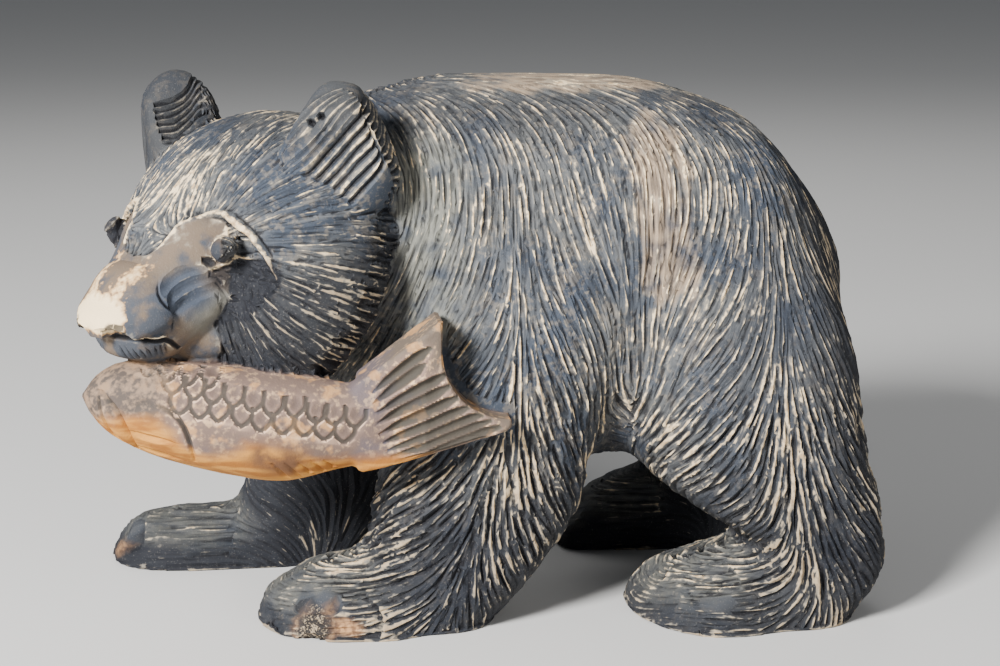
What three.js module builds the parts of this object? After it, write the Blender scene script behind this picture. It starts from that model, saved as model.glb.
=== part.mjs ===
// A carved bear with a salmon in its jaws, cut from one block of wood.
//
// The carving is a set of rounded masses (barrel, legs, paws, head, ears, fish) that run into each
// other. Each mass is a function that gives a point's signed distance to it, in mm and below zero
// inside, and the skin of the carving is where the blend of them all is zero.
//
// Frame: X runs from the head to the rump, -Y is the bear's left, Z is up and the soles are at z = 0.

import * as THREE from 'three';
import { edgeTable, triTable } from 'three/addons/objects/MarchingCubes.js';

const clamp = THREE.MathUtils.clamp;

// ---------------------------------------------------------------- blends and simple masses

/** The union of two masses, with a fillet about k wide where they meet. */
function join(a, b, k) {
  const h = clamp(0.5 + (0.5 * (b - a)) / k, 0, 1);
  return b + (a - b) * h - k * h * (1 - h);
}

/** What two masses have in common, with its edge eased over about k. */
function common(a, b, k) {
  return -join(-a, -b, k);
}

/** The first mass with the second one cut out of it. */
function cut(a, b, k) {
  return common(a, -b, k);
}

/** An ellipsoid about the origin. */
function ellipsoid(x, y, z, rx, ry, rz) {
  const near = Math.hypot(x / rx, y / ry, z / rz);
  const slope = Math.hypot(x / rx ** 2, y / ry ** 2, z / rz ** 2) + 1e-9;
  return (near * (near - 1)) / slope;
}

/** A rounded oblong section: an ellipse at power 2 that gets squarer as the power grows. */
function oblong(x, y, halfX, halfY, power) {
  const ax = Math.abs(x) / halfX;
  const ay = Math.abs(y) / halfY;
  const near = (ax ** power + ay ** power + 1e-9) ** (1 / power);
  const slope = near ** (1 - power) * Math.hypot(ax ** (power - 1) / halfX, ay ** (power - 1) / halfY);
  return (near - 1) / Math.max(slope, 0.004);
}

/** A bar with round ends from a to b, with its own radius at each end. */
function bar(p, a, b, radiusA, radiusB) {
  const along = new THREE.Vector3().subVectors(b, a);
  const offset = new THREE.Vector3().subVectors(p, a);
  const t = clamp(offset.dot(along) / along.lengthSq(), 0, 1);
  return offset.addScaledVector(along, -t).length() - (radiusA + (radiusB - radiusA) * t);
}

/**
 * Smooth rails through the rows of a loft. A row is a station followed by the sizes there, and the
 * function returned gives all the sizes at any station, held level beyond the two ends.
 */
function rails(rows) {
  const stations = rows.map((row) => row[0]);
  const slopes = rows.map((_, i) => {
    const before = rows[Math.max(i - 1, 0)];
    const after = rows[Math.min(i + 1, rows.length - 1)];
    return before.map((size, k) => (after[k] - size) / (after[0] - before[0]));
  });
  return (station) => {
    const s = clamp(station, stations[0], stations.at(-1));
    let i = 0;
    while (i < rows.length - 2 && s > stations[i + 1]) i += 1;
    const span = stations[i + 1] - stations[i];
    const t = (s - stations[i]) / span;
    const sizes = [];
    for (let k = 1; k < rows[i].length; k += 1) {
      const start = rows[i][k] * (1 + 2 * t) * (1 - t) ** 2 + slopes[i][k] * span * t * (1 - t) ** 2;
      const end = rows[i + 1][k] * t * t * (3 - 2 * t) + slopes[i + 1][k] * span * t * t * (t - 1);
      sizes.push(start + end);
    }
    return sizes;
  };
}

// ---------------------------------------------------------------- barrel and neck

// Rows: x, height of the back, height of the belly, half width.
const barrelRails = rails([
  [-56, 122, 60, 22],
  [-42, 134, 52, 29],
  [-26, 138.3, 44, 35.5],
  [-8, 138.6, 39, 40],
  [15, 138, 36.5, 41.5],
  [35, 137, 37, 43],
  [52, 133, 40, 44],
  [66, 127, 45, 43.5],
  [80, 112, 54, 37],
  [94, 94, 62, 30],
]);
const rump = { x: 19, z: 86, reach: 73, chestReach: 91, halfWidth: 62, halfHeight: 64 };
const neck = {
  front: new THREE.Vector3(-52, -12, 97),
  back: new THREE.Vector3(-18, 0, 94),
  frontRadius: 27,
  backRadius: 35,
};
const stubTail = { x: 82, y: 2, z: 93, length: 7, width: 6, height: 8 };
const barrelSquareness = 2.5;
const rumpEase = 14;

function barrel(x, y, z) {
  const [back, belly, halfWidth] = barrelRails(x);
  const tube = oblong(y, z - (back + belly) / 2, halfWidth, (back - belly) / 2, barrelSquareness);
  const reach = x < rump.x ? rump.chestReach : rump.reach;
  const ends = ellipsoid(x - rump.x, y, z - rump.z, reach, rump.halfWidth, rump.halfHeight);
  return common(tube, ends, rumpEase);
}

// ---------------------------------------------------------------- legs and paws

// Leg rows: height, x of the front edge, x of the back edge, outer side, inner side.
// Paw rows: x, height of the top, half width, distance of the middle line from the bear's own.
const limbs = [
  {
    side: -1, // left front
    leg: rails([
      [0, -42, -6, 44, 10],
      [12, -41, 5, 47, 9],
      [30, -38, 16.5, 47, 12],
      [55, -33, 20, 49, 12],
      [78, -27, 25, 48, 12],
      [100, -20, 22, 41, 10],
    ]),
    toe: -67.5,
    heel: -28,
    paw: rails([
      [-67.5, 3.5, 6, 24],
      [-65, 8, 10.5, 25],
      [-59, 12.5, 15, 26.5],
      [-50, 17, 18, 28],
      [-28, 20, 19, 28],
    ]),
  },
  {
    side: -1, // left hind
    leg: rails([
      [0, 53, 88, 54, 12],
      [12, 56, 96, 56, 11],
      [21, 57, 96, 55.5, 13],
      [31, 43, 95, 55, 13],
      [42, 31.5, 92, 54, 13],
      [70, 34, 87.5, 50, 12],
      [100, 38, 77, 43, 10],
    ]),
    toe: 29.5,
    heel: 64,
    paw: rails([
      [29.5, 3.5, 8, 28],
      [32, 7.5, 12.5, 29.5],
      [38, 13, 18.5, 32],
      [46, 16, 21.5, 34],
      [64, 21, 22, 34],
    ]),
  },
  {
    side: 1, // right front
    leg: rails([
      [0, -76, -34, 46, 15],
      [14, -72, -24, 47, 14],
      [30, -66, -12, 46, 14],
      [55, -52, 0, 44, 12],
      [78, -38, 14, 42, 12],
      [100, -25, 16, 38, 10],
    ]),
    toe: -107.5,
    heel: -56,
    paw: rails([
      [-107.5, 4, 6, 33],
      [-105, 8, 10, 32],
      [-99, 12, 14, 31],
      [-91, 13.5, 16.5, 31],
      [-70, 14.5, 17, 31],
      [-56, 20, 17, 31],
    ]),
  },
  {
    side: 1, // right hind
    leg: rails([
      [0, 50, 72, 51, 15],
      [18, 50, 85, 53, 14],
      [30, 45, 88, 53, 14],
      [42, 36, 89, 52, 13],
      [70, 34, 87, 48, 12],
      [100, 38, 76, 41, 10],
    ]),
    toe: 19.5,
    heel: 58,
    paw: rails([
      [19.5, 4, 6, 27],
      [22, 8, 10, 28],
      [28, 13, 14, 30],
      [38, 18, 17, 32],
      [58, 24, 19, 33],
    ]),
  },
];
const legTop = 96;
const legTopEase = 20;
const legSquareness = 2.6;
const pawSquareness = 2.3;
const toeEase = 4;
const heelEase = 8;
const ankleFillet = 5;
// A paw is the upper part of a loaf whose middle lies just under the ground.
const pawSink = 1;

function limb({ side, leg, paw, toe, heel }, x, y, z) {
  const out = y * side;
  const [front, back, outer, inner] = leg(z);
  const fromMiddle = x - (front + back) / 2;
  const fromAxis = out - (outer + inner) / 2;
  const column = oblong(fromMiddle, fromAxis, (back - front) / 2, (outer - inner) / 2, legSquareness);
  const [top, halfWidth, middle] = paw(x);
  const loaf = oblong(out - middle, z + pawSink, halfWidth, top + pawSink, pawSquareness);
  const foot = common(common(loaf, toe - x, toeEase), x - heel, heelEase);
  return join(common(column, z - legTop, legTopEase), foot, ankleFillet);
}

// ---------------------------------------------------------------- head

// The head has axes of its own at the middle of the eyes: ahead, left and up.
const eyeMiddle = new THREE.Vector3(-85.5, -35.5, 102);
const headTurn = THREE.MathUtils.degToRad(41);
const headDip = THREE.MathUtils.degToRad(18);
const ahead = new THREE.Vector3(
  -Math.cos(headTurn) * Math.cos(headDip), -Math.sin(headTurn) * Math.cos(headDip), -Math.sin(headDip),
);
const left = new THREE.Vector3(Math.sin(headTurn), -Math.cos(headTurn), 0);
const up = new THREE.Vector3().crossVectors(ahead, left);

const skull = { ahead: -28, up: -4, length: 32, width: 32, height: 20 };
// The ruff is a round of fur that leans back, cut off behind by a step down to the neck.
const ruff = { ahead: -29, down: -3, depth: 29, height: 38.5, width: 42, lean: 0.735, rise: 0.68 };
const ruffStep = { ahead: -35.9, edge: 1.2 };
const skullFillet = 7;
// Rows: distance ahead of the eyes, half width, height of the bridge.
const muzzleRails = rails([
  [-14, 23, 14.5],
  [-6, 21.5, 11],
  [2, 19, 7.6],
  [8, 15.8, 3.9],
  [13, 14.2, 0.7],
  [18, 14.8, -2],
  [24, 12.4, -4.6],
  [28.5, 9, -6.5],
]);
const palate = { up: -15.5, ahead: 18, slope: -0.1 };
const crown = { taper: 0.3, from: 0.25 };
const muzzleSquareness = 2.8;
const nose = { tip: 29.5, roundness: 0.03, slope: 0.006, middle: -9, ease: 2.5 };
// The upper lip rises from its corners to the nose, and dips a little over the corner teeth.
const lip = { up: -12.2, ahead: 28, slope: -0.13, dip: 0.9, dipOut: 15, dipWidth: 5, edge: 0.6 };
const muzzleRoot = { ahead: -20, ease: 4 };
// Rows: distance ahead of the eyes, half width, depth below the line of the mouth.
const jawRails = rails([
  [-10, 21, 5],
  [-4, 20, 5],
  [3, 18.2, 6.5],
  [8, 15.8, 10.4],
  [14, 13.6, 12.6],
  [18, 12.4, 12],
  [22, 11.2, 9.6],
  [25, 9.8, 7.4],
  [28, 7.5, 5.5],
]);
const jawForm = { up: -12, squareness: 2.4 };
const chin = { tip: 26, roundness: 0.03, ease: 2 };
const jawRoot = { ahead: -10, ease: 3 };
const throat = { ahead: 2, up: -23, length: 12, width: 16.5, height: 9, fillet: 1 };
const browLine = { ahead: -4.8, sweep: 8.2, from: 7.5, to: 17, middle: 14, middleSweep: 0.25 };
const faceRecess = 1.8;
const faceEdge = 0.5;
const eye = { ahead: 0.2, out: 19.6, up: -0.2, radius: 3.4, fillet: 0.8 };
const socket = { ahead: 0.5, out: 2.5, up: 0.4, length: 6.5, width: 3.6, height: 4.4, edge: 1.2 };
const nostril = { ahead: 28.5, out: 6.2, up: -11.6, length: 4, width: 3.6, height: 2, edge: 0.4 };
const cheekHollow = {
  front: new THREE.Vector3(16, 18.6, -9.5),
  back: new THREE.Vector3(0, 24, -5.5),
  frontRadius: 6,
  backRadius: 4.5,
  stop: 15.3,
  edge: 0.6,
};
// An ear is half an ellipsoid with a flat, slightly hollow face, narrowed to its top by two slopes.
const ears = [
  { side: 1, ahead: -28, out: 32, up: 11.5 },
  { side: -1, ahead: -27, out: 35.5, up: 11.5 },
];
const earLobe = { back: 8.5, depth: 11.5, halfWidth: 16, halfHeight: 18, face: 0.5, root: -14, edge: 1 };
const earInner = { across: -0.82, height: 0.57, reach: 12.3 };
const earOuter = { across: 0.937, height: 0.349, reach: 12.4 };
const earHollow = { ahead: 2.6, out: 0.5, up: 1, depth: 3.6, halfWidth: 6.5, halfHeight: 9.5, edge: 0.8 };
const earAim = { ahead: 0.8, out: 0.55, up: 0.22 };
const earRise = { ahead: -0.05, out: 0.1, up: 1 };

function muzzle(a, l, u) {
  const [halfWidth, bridge] = muzzleRails(a);
  const base = palate.up + palate.slope * (palate.ahead - a);
  const height = clamp((u - base) / (bridge - base) - crown.from, 0, 1);
  const narrowed = halfWidth * (1 - crown.taper * height);
  const face = a - nose.tip + nose.roundness * l * l + nose.slope * (u - nose.middle) ** 2;
  const dip = lip.dip * Math.exp(-(((Math.abs(l) - lip.dipOut) / lip.dipWidth) ** 2));
  const mouth = lip.up + lip.slope * (lip.ahead - a) - dip;
  let solid = oblong(l, u - (bridge + base) / 2, narrowed, (bridge - base) / 2, muzzleSquareness);
  solid = common(solid, face, nose.ease);
  solid = common(solid, mouth - u, lip.edge);
  return common(solid, muzzleRoot.ahead - a, muzzleRoot.ease);
}

function jaw(a, l, u) {
  const [halfWidth, depth] = jawRails(a);
  const solid = oblong(l, u - jawForm.up, halfWidth, depth, jawForm.squareness);
  const front = a - chin.tip + chin.roundness * l * l;
  return common(common(solid, front, chin.ease), jawRoot.ahead - a, jawRoot.ease);
}

/** The fur of the skull and the ruff, lowered in front of the curved line of brow and cheek. */
function headFur(a, l, u) {
  const lean = ruff.lean * a + ruff.rise * u;
  const down = ruff.rise * a - ruff.lean * u;
  const cap = ellipsoid(a - skull.ahead, l, u - skull.up, skull.length, skull.width, skull.height);
  const round = ellipsoid(lean - ruff.ahead, down - ruff.down, l, ruff.depth, ruff.height, ruff.width);
  const fur = common(join(cap, round, skullFillet), ruffStep.ahead - lean, ruffStep.edge);
  const cheek = browLine.sweep * THREE.MathUtils.smoothstep(-u, browLine.from, browLine.to);
  const brow = browLine.middleSweep * Math.max(browLine.middle - Math.abs(l), 0);
  const line = browLine.ahead + cheek + brow;
  return cut(fur, common(line - a, -(fur + faceRecess), faceEdge), faceEdge);
}

function ear({ side, ahead: earAhead, out, up: earUp }, a, l, u) {
  const axis = new THREE.Vector3(earAim.ahead, earAim.out, earAim.up).normalize();
  const tall = new THREE.Vector3(earRise.ahead, earRise.out, earRise.up);
  tall.addScaledVector(axis, -tall.dot(axis)).normalize();
  const wide = new THREE.Vector3().crossVectors(tall, axis);
  const offset = new THREE.Vector3(a - earAhead, l * side - out, u - earUp);
  const depth = offset.dot(axis);
  const across = offset.dot(wide);
  const height = offset.dot(tall);
  const { back, halfWidth, halfHeight, face, root, edge } = earLobe;
  let lobe = ellipsoid(depth + back, across, height, earLobe.depth, halfWidth, halfHeight);
  lobe = common(lobe, depth - face, edge);
  for (const slope of [earInner, earOuter]) {
    lobe = common(lobe, slope.across * across + slope.height * height - slope.reach, edge * 2);
  }
  const bowl = ellipsoid(
    depth - earHollow.ahead, across - earHollow.out, height - earHollow.up,
    earHollow.depth, earHollow.halfWidth, earHollow.halfHeight,
  );
  return common(cut(lobe, bowl, earHollow.edge), root - height, edge * 2);
}

const muzzleFillet = 2;
const mouthFillet = 0.3;
const earFillet = 2;

function head(x, y, z) {
  const offset = new THREE.Vector3(x, y, z).sub(eyeMiddle);
  const a = offset.dot(ahead);
  const l = offset.dot(left);
  const u = offset.dot(up);
  const out = Math.abs(l);
  const gullet = ellipsoid(a - throat.ahead, l, u - throat.up, throat.length, throat.width, throat.height);
  const face = join(join(muzzle(a, l, u), jaw(a, l, u), mouthFillet), gullet, throat.fillet);
  let solid = join(headFur(a, l, u), face, muzzleFillet);
  const fromEye = new THREE.Vector3(a - eye.ahead, out - eye.out, u - eye.up);
  const orbit = ellipsoid(
    fromEye.x - socket.ahead, fromEye.y - socket.out, fromEye.z - socket.up,
    socket.length, socket.width, socket.height,
  );
  solid = cut(solid, orbit, socket.edge);
  solid = join(solid, fromEye.length() - eye.radius, eye.fillet);
  const { front, back, frontRadius, backRadius, stop, edge } = cheekHollow;
  const gouge = bar(new THREE.Vector3(a, out, u), front, back, frontRadius, backRadius);
  solid = cut(solid, common(gouge, a - stop, mouthFillet), edge);
  const hole = ellipsoid(
    a - nostril.ahead, out - nostril.out, u - nostril.up, nostril.length, nostril.width, nostril.height,
  );
  solid = cut(solid, hole, nostril.edge);
  for (const each of ears) solid = join(solid, ear(each, a, l, u), earFillet);
  return solid;
}

// ---------------------------------------------------------------- salmon

// The fish has axes of its own at its snout: along, up and out.
const snout = new THREE.Vector3(-107.2, -42, 65.6);
const along = new THREE.Vector3(0.9836, -0.1546, -0.093);
const fishOut = new THREE.Vector3(-0.1553, -0.9879, 0);
const fishUp = new THREE.Vector3(0.0919, -0.0144, 0.9957);
// Rows: distance from the snout, height of the back, height of the belly, half thickness.
const fishRails = rails([
  [0, 1.5, -1.5, 2.5],
  [2.4, 5, -4.8, 5.5],
  [7, 8.3, -8.8, 8.2],
  [15, 10, -12.2, 10.2],
  [23, 10.4, -14.2, 11.3],
  [37, 10.4, -16.2, 11.8],
  [50, 10, -16.4, 10.5],
  [63, 9, -12.2, 7],
  [70, 9, -10, 5.2],
  [78, 9, -10, 4.6],
]);
const fishEnd = { snout: -0.5, snoutEase: 1.5, tail: 74, tailEase: 5 };
const fishSquareness = 2.1;
// The tail fin lies against the left shoulder, with straight edges and a hollow curve behind.
const fin = {
  root: -42,
  topEdge: { x: -38.7, z: 72, slopeX: -0.6, slopeZ: 0.8 },
  lowEdge: { x: -35.1, z: 48.7, slopeX: 0.24, slopeZ: -0.971 },
  lowTipEdge: { x: -20, z: 50.6, slopeX: 0.378, slopeZ: -0.926 },
  notch: { x: -4.5, z: 76.5, radius: 17.3 },
  topTip: -21.8,
  lowTip: -4.8,
  edge: 0.7,
  inside: -44,
};
// The outer face of the fin swells out behind its root and falls back to its tips.
const finFace = { y: -55.5, swell: 2.6, swellLength: 16, fall: 2.2, fallFrom: -26, fallLength: 22, edge: 1 };

function fish(x, y, z) {
  const offset = new THREE.Vector3(x, y, z).sub(snout);
  const t = offset.dot(along);
  const [top, belly, halfThickness] = fishRails(t);
  const height = offset.dot(fishUp) - (top + belly) / 2;
  const body = oblong(height, offset.dot(fishOut), (top - belly) / 2, halfThickness, fishSquareness);
  return common(common(body, fishEnd.snout - t, fishEnd.snoutEase), t - fishEnd.tail, fishEnd.tailEase);
}

/** Distance of (x, z) beyond a straight edge. */
function beyond(x, z, edge) {
  return edge.slopeX * (x - edge.x) + edge.slopeZ * (z - edge.z);
}

function tailFin(x, y, z) {
  const { notch, edge } = fin;
  const low = common(beyond(x, z, fin.lowEdge), beyond(x, z, fin.lowTipEdge), edge);
  const sides = common(beyond(x, z, fin.topEdge), low, edge);
  const hollow = notch.radius - Math.hypot(x - notch.x, z - notch.z);
  const bay = x > notch.x ? Math.max(hollow, x - fin.lowTip) : hollow;
  const tips = common(bay, x - (z > notch.z ? fin.topTip : fin.lowTip), edge);
  const outline = common(sides, common(tips, fin.root - x, edge), edge);
  const swell = finFace.swell * clamp((x - fin.root) / finFace.swellLength, 0, 1);
  const fall = finFace.fall * clamp((x - finFace.fallFrom) / finFace.fallLength, 0, 1);
  return common(common(outline, finFace.y - swell + fall - y, finFace.edge), y - fin.inside, edge);
}

// ---------------------------------------------------------------- the whole carving

// Widths of the fillets where the masses run into each other.
const fillet = { neck: 14, limb: 9, tail: 4, head: 4, fin: 3, fish: 1.2, sole: 0.4 };

function carving(x, y, z) {
  const spot = new THREE.Vector3(x, y, z);
  const nape = bar(spot, neck.front, neck.back, neck.frontRadius, neck.backRadius);
  let solid = join(barrel(x, y, z), nape, fillet.neck);
  for (const each of limbs) solid = join(solid, limb(each, x, y, z), fillet.limb);
  const { length, width, height } = stubTail;
  const dock = ellipsoid(x - stubTail.x, y - stubTail.y, z - stubTail.z, length, width, height);
  solid = join(solid, dock, fillet.tail);
  solid = join(solid, head(x, y, z), fillet.head);
  solid = join(solid, join(fish(x, y, z), tailFin(x, y, z), fillet.fin), fillet.fish);
  return common(solid, -z, fillet.sole);
}

// ---------------------------------------------------------------- skin

const cellSize = 1.9;
const bounds = new THREE.Box3(
  new THREE.Vector3(-114, -70, -1.5 * cellSize), new THREE.Vector3(104, 62, 148),
);
const triangleBudget = 9400;
// How near a skin vertex may come to the end of its grid edge, as a share of the edge.
const leastShare = 0.15;

/** Marching cubes over a box, with one vertex for each crossed grid edge, so that the skin is closed. */
function marchSkin(field, box, cell) {
  const count = box.getSize(new THREE.Vector3()).divideScalar(cell).ceil().addScalar(1);
  const [nx, ny, nz] = count.toArray();
  const node = (i, j, k) => i + nx * (j + ny * k);
  const place = (i, j, k) => new THREE.Vector3(i, j, k).multiplyScalar(cell).add(box.min);
  const values = new Float32Array(nx * ny * nz);
  for (let k = 0; k < nz; k += 1) {
    for (let j = 0; j < ny; j += 1) {
      for (let i = 0; i < nx; i += 1) {
        values[node(i, j, k)] = field(...place(i, j, k).toArray());
      }
    }
  }
  const corners = [[0, 0, 0], [1, 0, 0], [1, 1, 0], [0, 1, 0], [0, 0, 1], [1, 0, 1], [1, 1, 1], [0, 1, 1]];
  const edges = [
    [0, 1], [1, 2], [2, 3], [3, 0], [4, 5], [5, 6], [6, 7], [7, 4], [0, 4], [1, 5], [2, 6], [3, 7],
  ];
  const points = [];
  const triangles = [];
  const known = new Map();
  const crossing = (a, b) => {
    const [first, second] = node(...a) < node(...b) ? [a, b] : [b, a];
    const key = node(...first) * nx * ny * nz + node(...second);
    if (!known.has(key)) {
      const from = values[node(...first)];
      const to = values[node(...second)];
      known.set(key, points.length);
      const share = clamp(from / (from - to), leastShare, 1 - leastShare);
      points.push(place(...first).lerp(place(...second), share));
    }
    return known.get(key);
  };
  for (let k = 0; k < nz - 1; k += 1) {
    for (let j = 0; j < ny - 1; j += 1) {
      for (let i = 0; i < nx - 1; i += 1) {
        const cube = corners.map(([di, dj, dk]) => [i + di, j + dj, k + dk]);
        let kind = 0;
        cube.forEach((corner, bit) => {
          if (values[node(...corner)] > 0) kind |= 1 << bit;
        });
        if (edgeTable[kind] === 0) continue;
        for (let t = 0; triTable[kind * 16 + t] !== -1; t += 3) {
          const face = [0, 1, 2].map((n) => {
            const [from, to] = edges[triTable[kind * 16 + t + n]];
            return crossing(cube[from], cube[to]);
          });
          triangles.push(face);
        }
      }
    }
  }
  return { points, triangles };
}

/** Moves each point along the field's slope onto the surface itself. */
function settle(points, field) {
  const step = 0.15;
  const passes = 3;
  const longest = 0.6;
  const leastSlope = 0.1;
  const soleSnap = 0.1;
  for (const point of points) {
    for (let pass = 0; pass < passes; pass += 1) {
      const { x, y, z } = point;
      const slope = new THREE.Vector3(
        field(x + step, y, z) - field(x - step, y, z),
        field(x, y + step, z) - field(x, y - step, z),
        field(x, y, z + step) - field(x, y, z - step),
      ).divideScalar(2 * step);
      const move = clamp(field(x, y, z) / Math.max(slope.lengthSq(), leastSlope), -longest, longest);
      point.addScaledVector(slope, -move);
    }
    if (point.z < soleSnap) point.z = 0;
  }
}

/** A queue that hands back the entry of least cost first. */
class CostQueue {
  constructor() {
    this.heap = [];
  }

  push(entry) {
    const { heap } = this;
    let i = heap.push(entry) - 1;
    while (i > 0 && heap[(i - 1) >> 1].cost > entry.cost) {
      heap[i] = heap[(i - 1) >> 1];
      i = (i - 1) >> 1;
    }
    heap[i] = entry;
  }

  pop() {
    const { heap } = this;
    const least = heap[0];
    const last = heap.pop();
    if (heap.length === 0) return least;
    let i = 0;
    for (;;) {
      let child = 2 * i + 1;
      if (child + 1 < heap.length && heap[child + 1].cost < heap[child].cost) child += 1;
      if (child >= heap.length || heap[child].cost >= last.cost) break;
      heap[i] = heap[child];
      i = child;
    }
    heap[i] = last;
    return least;
  }
}

/** The sum of squared distances from planes, kept as the ten terms of a quadratic in x, y and z. */
class PlaneSum {
  constructor() {
    this.terms = new Float64Array(10);
  }

  addPlane({ normal: { x, y, z }, constant: w }, weight) {
    const products = [x * x, x * y, x * z, x * w, y * y, y * z, y * w, z * z, z * w, w * w];
    products.forEach((product, i) => {
      this.terms[i] += product * weight;
    });
  }

  add(other) {
    other.terms.forEach((term, i) => {
      this.terms[i] += term;
    });
    return this;
  }

  at({ x, y, z }) {
    const [xx, xy, xz, xw, yy, yz, yw, zz, zw, ww] = this.terms;
    const square = xx * x * x + yy * y * y + zz * z * z + ww;
    return square + 2 * (xy * x * y + xz * x * z + yz * y * z + xw * x + yw * y + zw * z);
  }

  lowest() {
    const [xx, xy, xz, xw, yy, yz, yw, zz, zw] = this.terms;
    const matrix = new THREE.Matrix3(xx, xy, xz, xy, yy, yz, xz, yz, zz);
    if (Math.abs(matrix.determinant()) < 1e-3 * (xx + yy + zz) ** 3) return null;
    return new THREE.Vector3(-xw, -yw, -zw).applyMatrix3(matrix.invert());
  }
}

// Added to the cost of an edge for each cubic mm of its length, so that flat places keep even triangles.
const lengthCost = 4e-5;
// The least cosine of a triangle's turn in one merge, and the shape it has to keep.
const leastTurn = 0.5;
const fairShape = 0.1;
const shapeLoss = 0.6;

/** Merges edge after edge, the one that shifts the surface least first, down to a triangle budget. */
function reduce(points, triangles, budget) {
  const sums = points.map(() => new PlaneSum());
  const touching = points.map(() => new Set());
  const ages = points.map(() => 0);
  const corner = (face) => face.map((v) => points[v]);
  triangles.forEach((face, id) => {
    const triangle = new THREE.Triangle(...corner(face));
    const plane = triangle.getPlane(new THREE.Plane());
    for (const v of face) {
      sums[v].addPlane(plane, triangle.getArea());
      touching[v].add(id);
    }
  });
  const ring = (v) => new Set([...touching[v]].flatMap((id) => triangles[id]).filter((n) => n !== v));

  const queue = new CostQueue();
  const offer = (a, b) => {
    const sum = new PlaneSum().add(sums[a]).add(sums[b]);
    const middle = points[a].clone().lerp(points[b], 0.5);
    const length = points[a].distanceTo(points[b]);
    const choices = [points[a], points[b], middle];
    const lowest = sum.lowest();
    if (lowest && lowest.distanceTo(middle) < length) choices.push(lowest);
    // A point of the flat soles keeps its height, so that the soles stay flat.
    const low = choices.filter((point) => Math.min(points[a].z, points[b].z) > 0 || point.z === 0);
    const costs = low.map((point) => sum.at(point) + lengthCost * length ** 3);
    const best = costs.indexOf(Math.min(...costs));
    queue.push({ cost: costs[best], point: low[best].clone(), a, b, age: ages[a] + ages[b] });
  };
  const offerAll = () => points.forEach((_, a) => {
    if (touching[a]) for (const b of ring(a)) if (a < b) offer(a, b);
  });

  /** How far a triangle is from a needle: its area over the square of its longest side. */
  const fullness = (triangle) => {
    const { a, b, c } = triangle;
    const longest = Math.max(a.distanceToSquared(b), b.distanceToSquared(c), c.distanceToSquared(a));
    return triangle.getArea() / longest;
  };

  /** Whether a triangle keeps its facing and a fair shape when one corner moves. */
  const holds = (face, moved, point) => {
    const before = new THREE.Triangle(...corner(face));
    const after = new THREE.Triangle(...face.map((v) => (v === moved ? point : points[v])));
    const turn = before.getNormal(new THREE.Vector3()).dot(after.getNormal(new THREE.Vector3()));
    return turn > leastTurn && fullness(after) > Math.min(fairShape, shapeLoss * fullness(before));
  };

  let remaining = triangles.length;
  while (remaining > budget) {
    if (queue.heap.length === 0) offerAll();
    const { a, b, point, age } = queue.pop();
    if (!touching[a] || !touching[b] || ages[a] + ages[b] !== age) continue;
    const nextToB = ring(b);
    const shared = [...ring(a)].filter((v) => nextToB.has(v));
    const lost = [...touching[a]].filter((id) => touching[b].has(id));
    if (shared.length !== 2 || lost.length !== 2) continue;
    const safe = [[a, b], [b, a]].every(([moved, other]) => [...touching[moved]].every(
      (id) => touching[other].has(id) || holds(triangles[id], moved, point),
    ));
    if (!safe) continue;
    for (const id of lost) {
      for (const v of triangles[id]) touching[v].delete(id);
      triangles[id] = null;
    }
    for (const id of touching[b]) {
      triangles[id] = triangles[id].map((v) => (v === b ? a : v));
      touching[a].add(id);
    }
    touching[b] = null;
    points[a].copy(point);
    sums[a].add(sums[b]);
    ages[a] += ages[b] + 1;
    remaining -= 2;
    for (const v of ring(a)) offer(a, v);
  }
  return triangles.filter(Boolean);
}

function skinGeometry() {
  const { points, triangles } = marchSkin(carving, bounds, cellSize);
  settle(points, carving);
  const faces = reduce(points, triangles, triangleBudget);
  const numbers = new Map();
  for (const v of faces.flat()) if (!numbers.has(v)) numbers.set(v, numbers.size);
  const positions = [...numbers.keys()].flatMap((v) => points[v].toArray());
  const geometry = new THREE.BufferGeometry();
  geometry.setAttribute('position', new THREE.Float32BufferAttribute(positions, 3));
  geometry.setIndex(faces.flat().map((v) => numbers.get(v)));
  geometry.computeVertexNormals();
  return geometry;
}

// ---------------------------------------------------------------- the part

const stainedWood = new THREE.MeshStandardMaterial({ color: 0x4a4640, roughness: 0.75, metalness: 0 });

const bear = new THREE.Mesh(skinGeometry(), stainedWood);
bear.name = 'bear_with_salmon';
bear.geometry.computeBoundingBox();
const middle = bear.geometry.boundingBox.getCenter(new THREE.Vector3());
bear.position.set(-middle.x, -middle.y, 0);

const part = new THREE.Group();
part.add(bear);

export default part;
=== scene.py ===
"""A bear carved from one block of wood, walking, with a salmon held crosswise in its jaws."""

import bpy
import numpy as np
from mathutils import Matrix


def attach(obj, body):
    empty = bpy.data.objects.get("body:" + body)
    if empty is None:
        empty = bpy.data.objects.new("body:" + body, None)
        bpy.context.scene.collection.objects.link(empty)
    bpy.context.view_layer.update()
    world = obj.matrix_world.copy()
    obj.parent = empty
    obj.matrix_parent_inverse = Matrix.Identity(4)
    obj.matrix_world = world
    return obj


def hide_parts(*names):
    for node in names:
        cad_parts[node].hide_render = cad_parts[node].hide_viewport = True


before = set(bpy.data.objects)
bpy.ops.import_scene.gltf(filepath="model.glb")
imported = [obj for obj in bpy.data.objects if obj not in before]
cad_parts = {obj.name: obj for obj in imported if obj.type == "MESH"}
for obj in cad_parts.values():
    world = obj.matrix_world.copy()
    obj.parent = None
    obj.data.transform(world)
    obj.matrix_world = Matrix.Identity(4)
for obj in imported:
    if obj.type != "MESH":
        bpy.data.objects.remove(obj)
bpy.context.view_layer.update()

# ================================================================ table top, light and camera
# A pale plain table top, three soft studio lamps and a camera at the height of a seated viewer,
# a little towards the bear's head from a square side view.

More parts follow.
